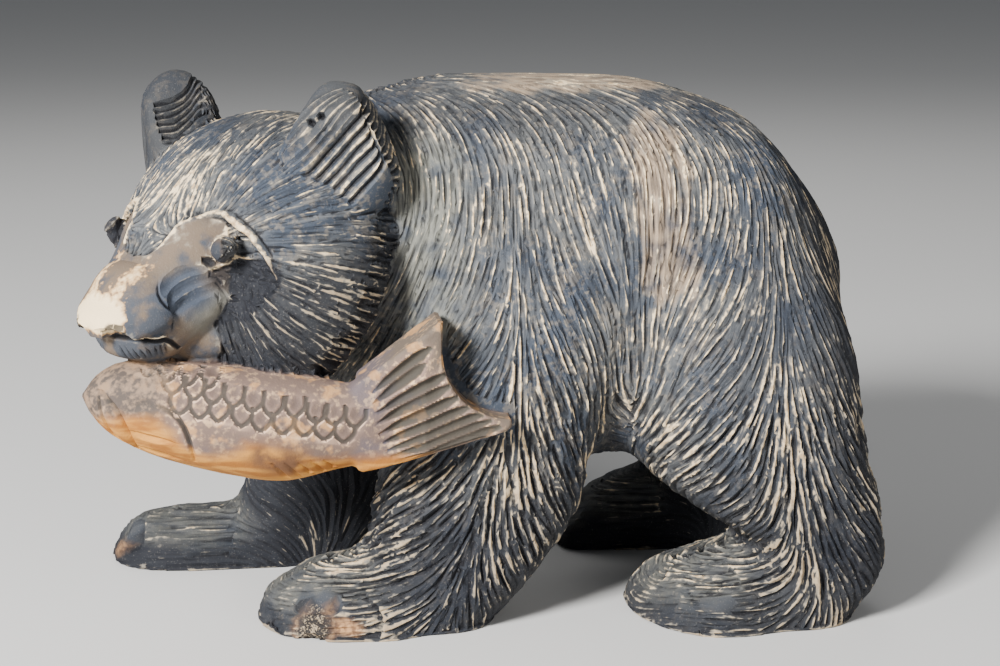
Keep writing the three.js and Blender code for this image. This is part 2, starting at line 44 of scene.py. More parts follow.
floor_size = 16.0
bpy.ops.mesh.primitive_plane_add(size=floor_size)
floor = bpy.context.object
floor.name = "table_top"
floor_material = bpy.data.materials.new("pale_table")
floor_material.use_nodes = True
floor_shader = floor_material.node_tree.nodes["Principled BSDF"]
floor_shader.inputs["Base Color"].default_value = (0.62, 0.61, 0.59, 1.0)
floor_shader.inputs["Roughness"].default_value = 0.9
floor.data.materials.append(floor_material)


def soft_lamp(name, place, aim, size, power):
    """A square area lamp at a place. It shines along its own -Z, so it is turned about X by the angle of its
    aim from straight down, then about Z to face it."""
    lamp = bpy.data.lights.new(name, "AREA")
    lamp.size = size
    lamp.energy = power
    holder = bpy.data.objects.new(name, lamp)
    bpy.context.scene.collection.objects.link(holder)
    way = np.subtract(aim, place)
    holder.location = place
    holder.rotation_euler = (np.arccos(-way[2] / np.linalg.norm(way)), 0, np.arctan2(-way[0], way[1]))


bear_middle = (0.0, 0.0, 0.07)
soft_lamp("key_lamp", (-0.72, -0.74, 0.62), bear_middle, 0.26, 44)
soft_lamp("fill_lamp", (0.70, -0.80, 0.45), bear_middle, 0.6, 3.5)
soft_lamp("back_lamp", (0.15, 0.80, 0.90), bear_middle, 0.5, 2.5)

studio = bpy.data.worlds.new("studio")
studio.use_nodes = True
studio_light = studio.node_tree.nodes["Background"]
studio_light.inputs["Color"].default_value = (0.80, 0.84, 0.90, 1.0)
studio_light.inputs["Strength"].default_value = 0.20
bpy.context.scene.world = studio

camera = bpy.data.objects.new("camera", bpy.data.cameras.new("camera"))
camera.data.sensor_width = 36.0
camera.data.lens = 70.0
camera_turn = np.radians(-8.0)
camera_dip = np.radians(12.3)
camera_distance = 0.525
camera_aim = np.array([0.0059, 0.00345, 0.0685])
backwards = np.array([
    np.sin(camera_turn) * np.cos(camera_dip),
    -np.cos(camera_turn) * np.cos(camera_dip),
    np.sin(camera_dip),
])
camera.location = camera_aim + camera_distance * backwards
camera.rotation_euler = (np.pi / 2 - camera_dip, 0, camera_turn)
bpy.context.scene.collection.objects.link(camera)
bpy.context.scene.camera = camera

# ================================================================ bear with salmon, one block of wood
# The whole figure is one piece of light wood: sawn to its outline, rounded, then cut all over with
# a V-tool for the fur and a round gouge for the scales, stained black and handled until the crests
# of the cuts wore pale. Sizes are in mm from the middle of the block's sawing lines.

# ---------------------------------------------------------------- rounded masses
# The block as it is before any fur is cut: barrel, limbs, head, ears and salmon are rounded masses that
# blend into each other, each given as the distance of a point from its surface, below zero inside.


def join(a, b, fillet):
    """Union of two masses: the lesser distance, less fillet * share * (1 - share) where about equal."""
    share = np.clip(0.5 + 0.5 * (b - a) / fillet, 0, 1)
    return b + (a - b) * share - fillet * share * (1 - share)


def common(a, b, ease):
    """What two masses share: the union of their outsides, turned inside out, with its edge eased."""
    return -join(-a, -b, ease)


def cut(a, b, ease):
    """The first mass with the second cut out of it."""
    return common(a, -b, ease)


def smooth(x, low, high):
    """0 below low and 1 above high, with a cubic between them."""
    t = np.clip((x - low) / (high - low), 0, 1)
    return t * t * (3 - 2 * t)


def ellipsoid(x, y, z, rx, ry, rz):
    """Distance to an ellipsoid about the origin, as (f - 1) / |grad f| of its scaled radius f. The slope
    here is f |grad f|."""
    radius = np.sqrt((x / rx) ** 2 + (y / ry) ** 2 + (z / rz) ** 2)
    slope = np.sqrt((x / rx**2) ** 2 + (y / ry**2) ** 2 + (z / rz**2) ** 2) + 1e-9
    return radius * (radius - 1) / slope


def oblong(x, y, half_x, half_y, power):
    """Distance to a superellipse |x/a|^n + |y/b|^n = 1, as (f - 1) / |grad f| of its scaled radius f."""
    ax = np.abs(x) / half_x
    ay = np.abs(y) / half_y
    radius = (ax**power + ay**power + 1e-9) ** (1 / power)
    slope = radius ** (1 - power) * np.hypot(ax ** (power - 1) / half_x, ay ** (power - 1) / half_y)
    return (radius - 1) / np.maximum(slope, 0.004)


def bar(p, a, b, radius_a, radius_b):
    """Distance to the line from a to b, less a radius that runs from radius_a to radius_b along it."""
    way = np.subtract(b, a)
    offset = p - a
    t = np.clip(offset @ way / (way @ way), 0, 1)
    return np.linalg.norm(offset - t[:, None] * way, axis=1) - (radius_a + (radius_b - radius_a) * t)


def rails(rows):
    """Smooth rails through the rows (station, sizes...) of a loft.

    Between two rows each size is a cubic, whose slope at a row is that from the row before to the row
    after it. Beyond the first and last row it stays level.
    """
    rows = np.array(rows, float)
    stations, sizes = rows[:, 0], rows[:, 1:]
    before = np.maximum(np.arange(len(rows)) - 1, 0)
    after = np.minimum(np.arange(len(rows)) + 1, len(rows) - 1)
    slopes = (sizes[after] - sizes[before]) / (stations[after] - stations[before])[:, None]

    def at(station):
        """The sizes at stations along the loft."""
        s = np.clip(station, stations[0], stations[-1])
        i = np.clip(np.searchsorted(stations, s, side="right") - 1, 0, len(stations) - 2)
        span = stations[i + 1] - stations[i]
        t = (s - stations[i]) / span
        first = (1 + 2 * t) * (1 - t) ** 2
        first_slope = t * (1 - t) ** 2 * span
        last = t * t * (3 - 2 * t)
        last_slope = t * t * (t - 1) * span
        return [
            column[i] * first + slope[i] * first_slope + column[i + 1] * last + slope[i + 1] * last_slope
            for column, slope in zip(sizes.T, slopes.T)
        ]

    return at


# Rows: x, height of the back, height of the belly, half width.
barrel_rails = rails([
    (-56, 122, 60, 22), (-42, 134, 52, 29), (-26, 138.3, 44, 35.5), (-8, 138.6, 39, 40),
    (15, 138, 36.5, 41.5), (35, 137, 37, 43), (52, 133, 40, 44), (66, 127, 45, 43.5),
    (80, 112, 54, 37), (94, 94, 62, 30),
])


def barrel(x, y, z):
    """A squarish loft along x, shared with a big ellipsoid that rounds its two ends."""
    back, belly, half_width = barrel_rails(x)
    tube = oblong(y, z - (back + belly) / 2, half_width, (back - belly) / 2, 2.5)
    ends = ellipsoid(x - 19, y, z - 86, np.where(x < 19, 91.0, 73.0), 62, 64)
    return common(tube, ends, 14)


# Leg rows: height, x of the front edge, x of the back edge, outer side, inner side.
# Paw rows: x, height of the top, half width, distance of the middle line from the bear's own.
limbs = {
    "left_front": dict(
        side=-1, toe=-67.5, heel=-28,
        leg=rails([(0, -42, -6, 44, 10), (12, -41, 5, 47, 9), (30, -38, 16.5, 47, 12), (55, -33, 20, 49, 12),
                   (78, -27, 25, 48, 12), (100, -20, 22, 41, 10)]),
        paw=rails([(-67.5, 3.5, 6, 24), (-65, 8, 10.5, 25), (-59, 12.5, 15, 26.5), (-50, 17, 18, 28),
                   (-28, 20, 19, 28)]),
    ),
    "left_hind": dict(
        side=-1, toe=29.5, heel=64,
        leg=rails([(0, 53, 88, 54, 12), (12, 56, 96, 56, 11), (21, 57, 96, 55.5, 13), (31, 43, 95, 55, 13),
                   (42, 31.5, 92, 54, 13), (70, 34, 87.5, 50, 12), (100, 38, 77, 43, 10)]),
        paw=rails([(29.5, 3.5, 8, 28), (32, 7.5, 12.5, 29.5), (38, 13, 18.5, 32), (46, 16, 21.5, 34),
                   (64, 21, 22, 34)]),
    ),
    "right_front": dict(
        side=1, toe=-107.5, heel=-56,
        leg=rails([(0, -76, -34, 46, 15), (14, -72, -24, 47, 14), (30, -66, -12, 46, 14),
                   (55, -52, 0, 44, 12), (78, -38, 14, 42, 12), (100, -25, 16, 38, 10)]),
        paw=rails([(-107.5, 4, 6, 33), (-105, 8, 10, 32), (-99, 12, 14, 31), (-91, 13.5, 16.5, 31),
                   (-70, 14.5, 17, 31), (-56, 20, 17, 31)]),
    ),
    "right_hind": dict(
        side=1, toe=19.5, heel=58,
        leg=rails([(0, 50, 72, 51, 15), (18, 50, 85, 53, 14), (30, 45, 88, 53, 14), (42, 36, 89, 52, 13),
                   (70, 34, 87, 48, 12), (100, 38, 76, 41, 10)]),
        paw=rails([(19.5, 4, 6, 27), (22, 8, 10, 28), (28, 13, 14, 30), (38, 18, 17, 32), (58, 24, 19, 33)]),
    ),
}


def limb(form, x, y, z):
    """A leg, lofted upwards as squarish ovals, joined to a paw, lofted along x as the top of a loaf."""
    out = y * form["side"]
    front, back, outer, inner = form["leg"](z)
    ahead_of_middle = x - (front + back) / 2
    out_of_middle = out - (outer + inner) / 2
    column = oblong(ahead_of_middle, out_of_middle, (back - front) / 2, (outer - inner) / 2, 2.6)
    top, half_width, middle = form["paw"](x)
    loaf = oblong(out - middle, z + 1, half_width, top + 1, 2.3)
    foot = common(common(loaf, form["toe"] - x, 4), x - form["heel"], 8)
    return join(common(column, z - 96, 20), foot, 5)


# The head has axes of its own at the middle of the eyes: ahead (a), left (l) and up (u).
eye_middle = np.array([-85.5, -35.5, 102.0])
head_turn, head_dip = np.radians(41), np.radians(18)
ahead = np.array([
    -np.cos(head_turn) * np.cos(head_dip),
    -np.sin(head_turn) * np.cos(head_dip),
    -np.sin(head_dip),
])
left = np.array([np.sin(head_turn), -np.cos(head_turn), 0.0])
head_axes = np.array([ahead, left, np.cross(ahead, left)])

# Rows: distance ahead of the eyes, half width, height of the bridge.
muzzle_rails = rails([
    (-14, 23, 14.5), (-6, 21.5, 11), (2, 19, 7.6), (8, 15.8, 3.9), (13, 14.2, 0.7), (18, 14.8, -2),
    (24, 12.4, -4.6), (28.5, 9, -6.5),
])
# Rows: distance ahead of the eyes, half width, depth below the line of the mouth.
jaw_rails = rails([
    (-10, 21, 5), (-4, 20, 5), (3, 18.2, 6.5), (8, 15.8, 10.4), (14, 13.6, 12.6), (18, 12.4, 12),
    (22, 11.2, 9.6), (25, 9.8, 7.4), (28, 7.5, 5.5),
])
# Each ear stands at distances ahead, outwards and up: 1 is the left one and -1 the right one.
ear_places = {1: (-28, 32, 11.5), -1: (-27, 35.5, 11.5)}
ear_aim = np.array([0.8, 0.55, 0.22]) / np.linalg.norm([0.8, 0.55, 0.22])
ear_tall = np.array([-0.05, 0.1, 1.0])
ear_tall = ear_tall - ear_aim * (ear_tall @ ear_aim)
ear_tall /= np.linalg.norm(ear_tall)
ear_axes = np.array([ear_aim, np.cross(ear_tall, ear_aim), ear_tall])


def in_head(p):
    """A point's distances ahead, left and up from the middle of the eyes."""
    return (p - eye_middle) @ head_axes.T


def from_head(q):
    """The point that lies at distances ahead, left and up from the middle of the eyes."""
    return np.asarray(q, float) @ head_axes + eye_middle


def muzzle(a, l, u):
    """A squarish loft along the nose, narrower at its crown, rounded off at the nose and cut by the lip."""
    half_width, bridge = muzzle_rails(a)
    palate = -15.5 - 0.1 * (18 - a)
    crown = np.clip((u - palate) / (bridge - palate) - 0.25, 0, 1)
    solid = oblong(l, u - (bridge + palate) / 2, half_width * (1 - 0.3 * crown), (bridge - palate) / 2, 2.8)
    solid = common(solid, a - 29.5 + 0.03 * l * l + 0.006 * (u + 9) ** 2, 2.5)
    lip = -12.2 - 0.13 * (28 - a) - 0.9 * np.exp(-(((np.abs(l) - 15) / 5) ** 2))
    return common(common(solid, lip - u, 0.6), -20 - a, 4)


def jaw(a, l, u):
    """A loft along the jaw, deepest at the corner of the mouth, with a rounded chin."""
    wide, deep = jaw_rails(a)
    return common(common(oblong(l, u + 12, wide, deep, 2.4), a - 26 + 0.03 * l * l, 2), -10 - a, 3)


def fur_front(l, u):
    """How far ahead of the eyes the fur ends, in the step along the brow and the cheek."""
    return -4.8 + 8.2 * smooth(-u, 7.5, 17) + 0.25 * np.maximum(14 - np.abs(l), 0)


def leant(a, u):
    """A point's distances ahead and down in the axes of the ruff, which leans forwards."""
    return 0.735 * a + 0.68 * u, 0.68 * a - 0.735 * u


def head_fur(a, l, u):
    """Skull and leaning ruff, cut off behind by a step and lowered in front of the line of brow and cheek."""
    lean, down = leant(a, u)
    cap = ellipsoid(a + 28, l, u + 4, 32, 32, 20)
    ruff = ellipsoid(lean + 29, down + 3, l, 29, 38.5, 42)
    fur = common(join(cap, ruff, 7), -35.9 - lean, 1.2)
    return cut(fur, common(fur_front(l, u) - a, -(fur + 1.8), 0.5), 0.5)


def in_ear(a, l, u, side):
    """A point's depth, breadth and height in an ear's own axes."""
    place = ear_places[side]
    return np.stack([a - place[0], l * side - place[1], u - place[2]], -1) @ ear_axes.T


def ear(a, l, u, side):
    """Half an ellipsoid with a flat, hollowed face, narrowed towards its top by two slopes."""
    depth, across, height = in_ear(a, l, u, side).T
    lobe = common(ellipsoid(depth + 8.5, across, height, 11.5, 16, 18), depth - 0.5, 1)
    lobe = common(lobe, -0.82 * across + 0.57 * height - 12.3, 2)
    lobe = common(lobe, 0.937 * across + 0.349 * height - 12.4, 2)
    hollow = ellipsoid(depth - 2.6, across - 0.5, height - 1, 3.6, 6.5, 9.5)
    return common(cut(lobe, hollow, 0.8), -14 - height, 2)


def face(a, l, u):
    """Muzzle, jaw and throat joined, and by itself the hollow that is cut from the cheek."""
    out = np.abs(l)
    solid = join(muzzle(a, l, u), jaw(a, l, u), 0.3)
    solid = join(solid, ellipsoid(a - 2, l, u + 23, 12, 16.5, 9), 1)
    scoop = bar(np.stack([a, out, u], -1), (16, 18.6, -9.5), (0, 24, -5.5), 6, 4.5)
    return solid, common(scoop, a - 15.3, 0.3)


def head(a, l, u):
    """The furred skull joined to the face, less sockets, hollows and nostrils, plus eyeballs; and then the
    skull and the face by themselves."""
    out = np.abs(l)
    fur = head_fur(a, l, u)
    bare_face, scoop = face(a, l, u)
    solid = join(fur, bare_face, 2)
    solid = cut(solid, ellipsoid(a - 0.7, out - 22.1, u - 0.2, 6.5, 3.6, 4.4), 1.2)
    solid = join(solid, np.sqrt((a - 0.2) ** 2 + (out - 19.6) ** 2 + (u + 0.2) ** 2) - 3.4, 0.8)
    solid = cut(solid, scoop, 0.6)
    return cut(solid, ellipsoid(a - 28.5, out - 6.2, u + 11.6, 4, 3.6, 2), 0.4), fur, bare_face


# The salmon has axes of its own at its snout: along, up and out.
snout = np.array([-107.2, -42.0, 65.6])
fish_axes = np.array([[0.9836, -0.1546, -0.0930], [0.0919, -0.0144, 0.9957], [-0.1553, -0.9879, 0.0]])
# Rows: distance from the snout, height of the back, height of the belly, half thickness.
fish_rails = rails([
    (0, 1.5, -1.5, 2.5), (2.4, 5, -4.8, 5.5), (7, 8.3, -8.8, 8.2), (15, 10, -12.2, 10.2),
    (23, 10.4, -14.2, 11.3), (37, 10.4, -16.2, 11.8), (50, 10, -16.4, 10.5), (63, 9, -12.2, 7),
    (70, 9, -10, 5.2), (78, 9, -10, 4.6),
])


def fish(p):
    """A loft along the salmon, rounded off at the snout and eased off at the root of its tail."""
    t, height, out = ((p - snout) @ fish_axes.T).T
    top, belly, half_thickness = fish_rails(t)
    body = oblong(height - (top + belly) / 2, out, (top - belly) / 2, half_thickness, 2.1)
    return common(common(body, -0.5 - t, 1.5), t - 74, 5)


def tail_fin(x, y, z):
    """A slab on the left shoulder: straight edges above and below, a round bay behind, a swelling face."""
    top = -0.6 * (x + 38.7) + 0.8 * (z - 72)
    low = common(0.24 * (x + 35.1) - 0.971 * (z - 48.7), 0.378 * (x + 20) - 0.926 * (z - 50.6), 0.7)
    bay = 17.3 - np.hypot(x + 4.5, z - 76.5)
    bay = np.where(x > -4.5, np.maximum(bay, x + 4.8), bay)
    tips = common(bay, x - np.where(z > 76.5, -21.8, -4.8), 0.7)
    outline = common(common(top, low, 0.7), common(tips, -42 - x, 0.7), 0.7)
    face_y = -55.5 - 2.6 * np.clip((x + 42) / 16, 0, 1) + 2.2 * np.clip((x + 26) / 22, 0, 1)
    return common(common(outline, face_y - y, 1), y + 44, 0.7)


def masses(p):
    """Distances of points from the torso with its limbs, the furred skull, the bare face, each ear, the
    salmon, its tail fin, and the carving, which is all of them joined and sawn level at the soles."""
    x, y, z = p.T
    a, l, u = in_head(p).T
    torso = join(barrel(x, y, z), bar(p, (-52, -12, 97), (-18, 0, 94), 27, 35), 14)
    for form in limbs.values():
        torso = join(torso, limb(form, x, y, z), 9)
    torso = join(torso, ellipsoid(x - 82, y - 2, z - 93, 7, 6, 8), 4)
    solid, skull, bare_face = head(a, l, u)
    left_ear, right_ear = ear(a, l, u, 1), ear(a, l, u, -1)
    solid = join(torso, join(join(solid, left_ear, 2), right_ear, 2), 4)
    body, fin = fish(p), tail_fin(x, y, z)
    solid = join(solid, join(body, fin, 3), 1.2)
    return {
        "torso": torso, "skull": skull, "face": bare_face, "left_ear": left_ear, "right_ear": right_ear,
        "fish": body, "fin": fin, "carving": common(solid, -z, 0.4),
    }


def carving(p):
    """Distance of points from the whole rounded figure, below zero inside."""
    return masses(p)["carving"]


# ---------------------------------------------------------------- skin of the rounded figure
# The masses are worked out at the nodes of a lattice, a net of quads is laid where the carving's distance
# is zero and settled on the surface, and it is halved twice, to be fine enough to carry the cuts.


def unit(v):
    """Vectors in their own directions, one long."""
    return v / np.maximum(np.linalg.norm(v, axis=1, keepdims=True), 1e-9)


def dot(a, b):
    """Dot products of two sets of vectors, pair by pair."""
    return np.einsum("ij,ij->i", a, b)


class Lattice:
    """Distances of every mass at the nodes of a cubic lattice, read between nodes by trilinear mixing."""

    def __init__(self, low, high, step):
        """Works the masses out at all nodes from low to high, in batches."""
        self.low, self.step = low, step
        self.shape = np.ceil((high - low) / step).astype(int) + 1
        axes = [low[k] + step * np.arange(self.shape[k]) for k in range(3)]
        nodes = np.stack(np.meshgrid(*axes, indexing="ij"), -1).reshape(-1, 3)
        batches = [masses(batch) for batch in np.array_split(nodes, 24)]
        self.values = {
            name: np.concatenate([batch[name] for batch in batches]).astype(np.float32).reshape(self.shape)
            for name in batches[0]
        }

    def read(self, name, p):
        """A mass's distance at points p."""
        place = np.clip((p - self.low) / self.step, 0, self.shape - 1.001)
        node = place.astype(int)
        share = place - node
        total = 0
        for corner in np.ndindex(2, 2, 2):
            weight = np.prod(np.where(corner, share, 1 - share), axis=1)
            total = total + weight * self.values[name][tuple((node + corner).T)]
        return total

    def slope(self, name, p):
        """The unit vector in which the mass's distance grows fastest, from central differences."""
        reach = 0.5 * self.step
        return unit(np.stack([
            self.read(name, p + reach * way) - self.read(name, p - reach * way) for way in np.eye(3)
        ], -1))


block_low = np.array([-114.0, -70.0, -2.6])
block_high = np.array([104.0, 62.0, 148.0])
grid_step = 1.6
lattice = Lattice(block_low, block_high, grid_step)


def net(values, low, step):
    """Surface net of a lattice: a vertex in each cell that the surface crosses, at the mean of its edge
    crossings, and a quad round each lattice edge that it crosses."""
    inside = values < 0
    cells = np.array(values.shape) - 1
    count = sum(
        inside[i:i + cells[0], j:j + cells[1], k:k + cells[2]].astype(np.int8)
        for i, j, k in np.ndindex(2, 2, 2)
    )
    crossed = (count > 0) & (count < 8)
    number = np.full(crossed.shape, -1)
    cell = np.argwhere(crossed)
    number[crossed] = np.arange(len(cell))
    total = np.zeros((len(cell), 3))
    crossings = np.zeros(len(cell))
    quads = []
    for axis in range(3):
        across = [k for k in range(3) if k != axis]
        for shift in np.ndindex(2, 2):
            start = np.zeros(3, int)
            start[across] = shift
            first = values[tuple((cell + start).T)]
            start[axis] = 1
            second = values[tuple((cell + start).T)]
            meets = (first < 0) != (second < 0)
            point = np.tile(start.astype(float), (len(cell), 1))
            point[:, axis] = np.where(meets, first / np.where(meets, first - second, 1), 0)
            total += point * meets[:, None]
            crossings += meets
        ends = [slice(0, n) for n in values.shape]
        starts = list(ends)
        starts[axis] = slice(0, values.shape[axis] - 1)
        ends[axis] = slice(1, values.shape[axis])
        edge = np.argwhere(inside[tuple(starts)] != inside[tuple(ends)])
        corners = []
        for shift in ((1, 1), (0, 1), (0, 0), (1, 0)):
            at = edge.copy()
            at[:, across] -= shift
            corners.append(number[tuple(at.T)])
        quad = np.stack(corners, -1)
        turned = inside[tuple(starts)][tuple(edge.T)] == (axis == 1)
        quad[turned] = quad[turned][:, ::-1]
        quads.append(quad)
    return (cell + total / crossings[:, None]) * step + low, np.concatenate(quads)


def settle(points, passes):
    """Newton steps along the slope of the carving's distance, so that the points lie on its surface."""
    probe = 0.15
    settled = []
    for batch in np.array_split(points, max(len(points) // 100000, 1)):
        for _ in range(passes):
            slope = np.stack([
                (carving(batch + probe * way) - carving(batch - probe * way)) / (2 * probe)
                for way in np.eye(3)
            ], -1)
            move = slope * (carving(batch) / np.maximum((slope**2).sum(1), 0.05))[:, None]
            length = np.linalg.norm(move, axis=1, keepdims=True)
            batch = batch - move * np.minimum(1, 1 / np.maximum(length, 1e-9))
        settled.append(batch)
    return np.concatenate(settled)


def halve(points, quads):
    """Splits each quad in four at the middles of its edges and its own middle."""
    edges = np.concatenate([quads[:, [k, (k + 1) % 4]] for k in range(4)])
    edges = np.sort(edges, axis=1)
    names, place = np.unique(edges[:, 0] * len(points) + edges[:, 1], return_inverse=True)
    middles = (points[names // len(points)] + points[names % len(points)]) / 2
    side = [len(points) + place[k * len(quads):(k + 1) * len(quads)] for k in range(4)]
    centre = len(points) + len(names) + np.arange(len(quads))
    pieces = [np.stack([quads[:, k], side[k], centre, side[k - 1]], -1) for k in range(4)]
    return np.concatenate([points, middles, points[quads].mean(1)]), np.concatenate(pieces)


def vertex_normals(points, quads):
    """Unit normals: the sum of the cross products of the diagonals of the quads round each vertex."""
    crosses = np.cross(points[quads[:, 2]] - points[quads[:, 0]], points[quads[:, 3]] - points[quads[:, 1]])
    total = np.stack([
        sum(np.bincount(quads[:, k], crosses[:, axis], len(points)) for k in range(4)) for axis in range(3)
    ], -1)
    return unit(total)


points, quads = net(lattice.values["carving"], block_low, grid_step)
points = settle(points, 2)
coarse_count = len(points)
points, quads = halve(points, quads)
points = settle(points, 1)
seed_count = len(points)
points, quads = halve(points, quads)
normals = vertex_normals(points, quads)
light_normals = normals.astype(np.float32)


def spread(values, rounds):
    """Evens out values over the skin: each vertex takes the mean of itself and its neighbours, many times."""
    ends = np.concatenate([quads[:, [k, (k + 1) % 4]] for k in range(4)])
    neighbours = sum(np.bincount(ends[:, k], minlength=len(points)) for k in range(2))
    for _ in range(rounds):
        total = np.bincount(ends[:, 0], values[ends[:, 1]], len(points))
        total += np.bincount(ends[:, 1], values[ends[:, 0]], len(points))
        values = (values + total / neighbours) / 2
    return values


# ---------------------------------------------------------------- the tools' cuts
# Every cut is a row of short lengths of groove: where its middle is, which way it runs, half its width,
# and its depth. A vertex sinks by the deepest groove over it.


class Cells:
    """The skin's vertices sorted into cubic cells, to find quickly which ones a tool passes over."""

    def __init__(self, where, cell):
        """Numbers the cells and sorts the points by their cell's number."""
        self.where = where.astype(np.float32)
        self.cell = cell
        self.origin = where.min(0) - 3 * cell
        self.counts = np.ceil((where.max(0) - self.origin) / cell).astype(np.int64) + 4
        key = self.key(where)
        self.order = np.argsort(key, kind="stable")
        self.keys = key[self.order]

    def key(self, where, shift=(0, 0, 0)):
        """The number of the cell that lies shift cells away from each point's own."""
        place = np.floor((where - self.origin) / self.cell).astype(np.int64) + shift
        place = np.clip(place, 0, self.counts - 1)
        return (place[:, 0] * self.counts[1] + place[:, 1]) * self.counts[2] + place[:, 2]

    def pairs(self, middles):
        """Pairs (vertex, middle) whose cells are the same or touch, in 27 batches."""
        for shift in np.ndindex(3, 3, 3):
            key = self.key(middles, np.array(shift) - 1)
            first = np.searchsorted(self.keys, key, "left")
            number = np.searchsorted(self.keys, key, "right") - first
            which = np.repeat(np.arange(len(middles)), number)
            start = np.repeat(first - np.concatenate([[0], np.cumsum(number)[:-1]]), number)
            yield self.order[start + np.arange(len(which))], which


def groove(cells, sunk, middles, ways, widths, depths, reach, roundness=0.0, steep=1.0, drift=None):
    """Deepens sunk under each length of groove.

    With r the vertex's distance from the groove's middle line and w half its width, the depth is
    d (1 - r/w) for a V-tool (roundness 0) and d (1 - (r/w)^2) for a round gouge (roundness 1). On the
    left of the way that the tool goes, the wall is steeper by the factor steep, or flatter if it is under 1.
    Drift, if given, keeps each vertex's offset from the middle line of its deepest groove.
    """
    middles = middles.astype(np.float32)
    ways = ways.astype(np.float32)
    for vertex, length in cells.pairs(middles):
        offset = cells.where[vertex] - middles[length]
        way = ways[length]
        along = dot(offset, way)
        reached = np.abs(along) <= reach
        vertex, length, offset, along, way = (
            values[reached] for values in (vertex, length, offset, along, way)
        )
        aside = offset - along[:, None] * way
        facing = light_normals[vertex]
        aside -= dot(aside, facing)[:, None] * facing
        share = np.linalg.norm(aside, axis=1) / widths[length]
        if steep != 1.0:
            share = np.where(dot(aside, np.cross(facing, way)) > 0, share * steep, share)
        inside = share < 1
        vertex, length, share = vertex[inside], length[inside], share[inside]
        sink = (depths[length] * (1 - share) * (1 + roundness * share)).astype(sunk.dtype)
        np.maximum.at(sunk, vertex, sink)
        if drift is not None:
            deepest = sink >= sunk[vertex]
            drift[vertex[deepest]] = aside[inside][deepest]


def on_skin(p):
    """Points near the skin moved on to it."""
    for _ in range(3):
        p = p - lattice.slope("carving", p) * lattice.read("carving", p)[:, None]
    return p


def drawn(lines, to_block, step=0.4):
    """Middles, ways, half widths and depths every step along smooth lines through rows of a place, a half
    width and a depth, laid on the skin."""
    found = []
    for rows in lines:
        rows = np.array(rows, float)
        run = np.concatenate([[0], np.cumsum(np.linalg.norm(np.diff(rows[:, :3], axis=0), axis=1))])
        sizes = np.stack(rails(np.column_stack([run, rows]))(np.arange(0, run[-1] + step, step)), -1)
        middles = on_skin(to_block(sizes[:, :3]))
        found.append((middles, unit(np.gradient(middles, axis=0)), sizes[:, 3], sizes[:, 4]))
    return [np.concatenate(parts) for parts in zip(*found)]


# ---------------------------------------------------------------- the lie of the fur
# The fur parts along a line down each shoulder and each thigh, and runs from there to the front
# and the back, more level the lower it is. Rows: height, x of the line.

shoulder_lines = {
    -1: rails([(0, -19), (17, -11.7), (43, -4.2), (69, -1.4), (87, -0.9), (140, 0)]),
    1: rails([(0, -52), (30, -38), (55, -24), (80, -10), (110, -4), (140, 0)]),
}
thigh_lines = {
    -1: rails([(0, 77), (9, 74.3), (22, 68.8), (43, 65.8), (61, 64), (102, 64), (140, 58)]),
    1: rails([(0, 64), (30, 66), (70, 62), (102, 62), (140, 58)]),
}
parting_share = 0.46
# How wide the fur fans out in front of a line, behind the shoulder and behind the thigh, as shares, and
# within how many mm of the line.
fan_before, fan_flank, fan_behind = 1.1, 0.75, 0.7
fan_reach = 9


def fanning(x, y, z):
    """How far the fur fans to the front (-) or the back (+) of straight down, as a share of its widest."""
    on_left = y < 0
    shoulder = np.where(on_left, shoulder_lines[-1](z)[0], shoulder_lines[1](z)[0])
    thigh = np.where(on_left, thigh_lines[-1](z)[0], thigh_lines[1](z)[0])
    q = (x - shoulder) / (thigh - shoulder)
    flank = np.select(
        [q < 0, q < parting_share, q < 1],
        [-fan_before * np.tanh((shoulder - x) / fan_reach),
         fan_flank * np.sin(np.pi * np.clip(q, 0, parting_share) / parting_share),
         -np.sin(np.pi * np.clip((q - parting_share) / (1 - parting_share), 0, 1))],
        fan_behind * np.tanh((x - thigh) / fan_reach),
    )
    fore = x < shoulder + parting_share * (thigh - shoulder)
    front, back = np.zeros_like(x), np.zeros_like(x)
    for name, here in (("left_front", on_left & fore), ("left_hind", on_left & ~fore),
                       ("right_front", ~on_left & fore), ("right_hind", ~on_left & ~fore)):
        edges = limbs[name]["leg"](z)
        front = np.where(here, edges[0], front)
        back = np.where(here, edges[1], back)
    line = np.where(fore, shoulder, thigh)
    before = np.sin(np.pi / 2 * np.clip((line - x) / np.maximum(line - front, 3), 0, 1))
    behind = np.sin(np.pi / 2 * np.clip((x - line) / np.maximum(back - line, 3), 0, 1))
    leg = np.where(x < line, -fan_before * before, fan_behind * behind)
    return leg + (flank - leg) * smooth(z, 48, 72)


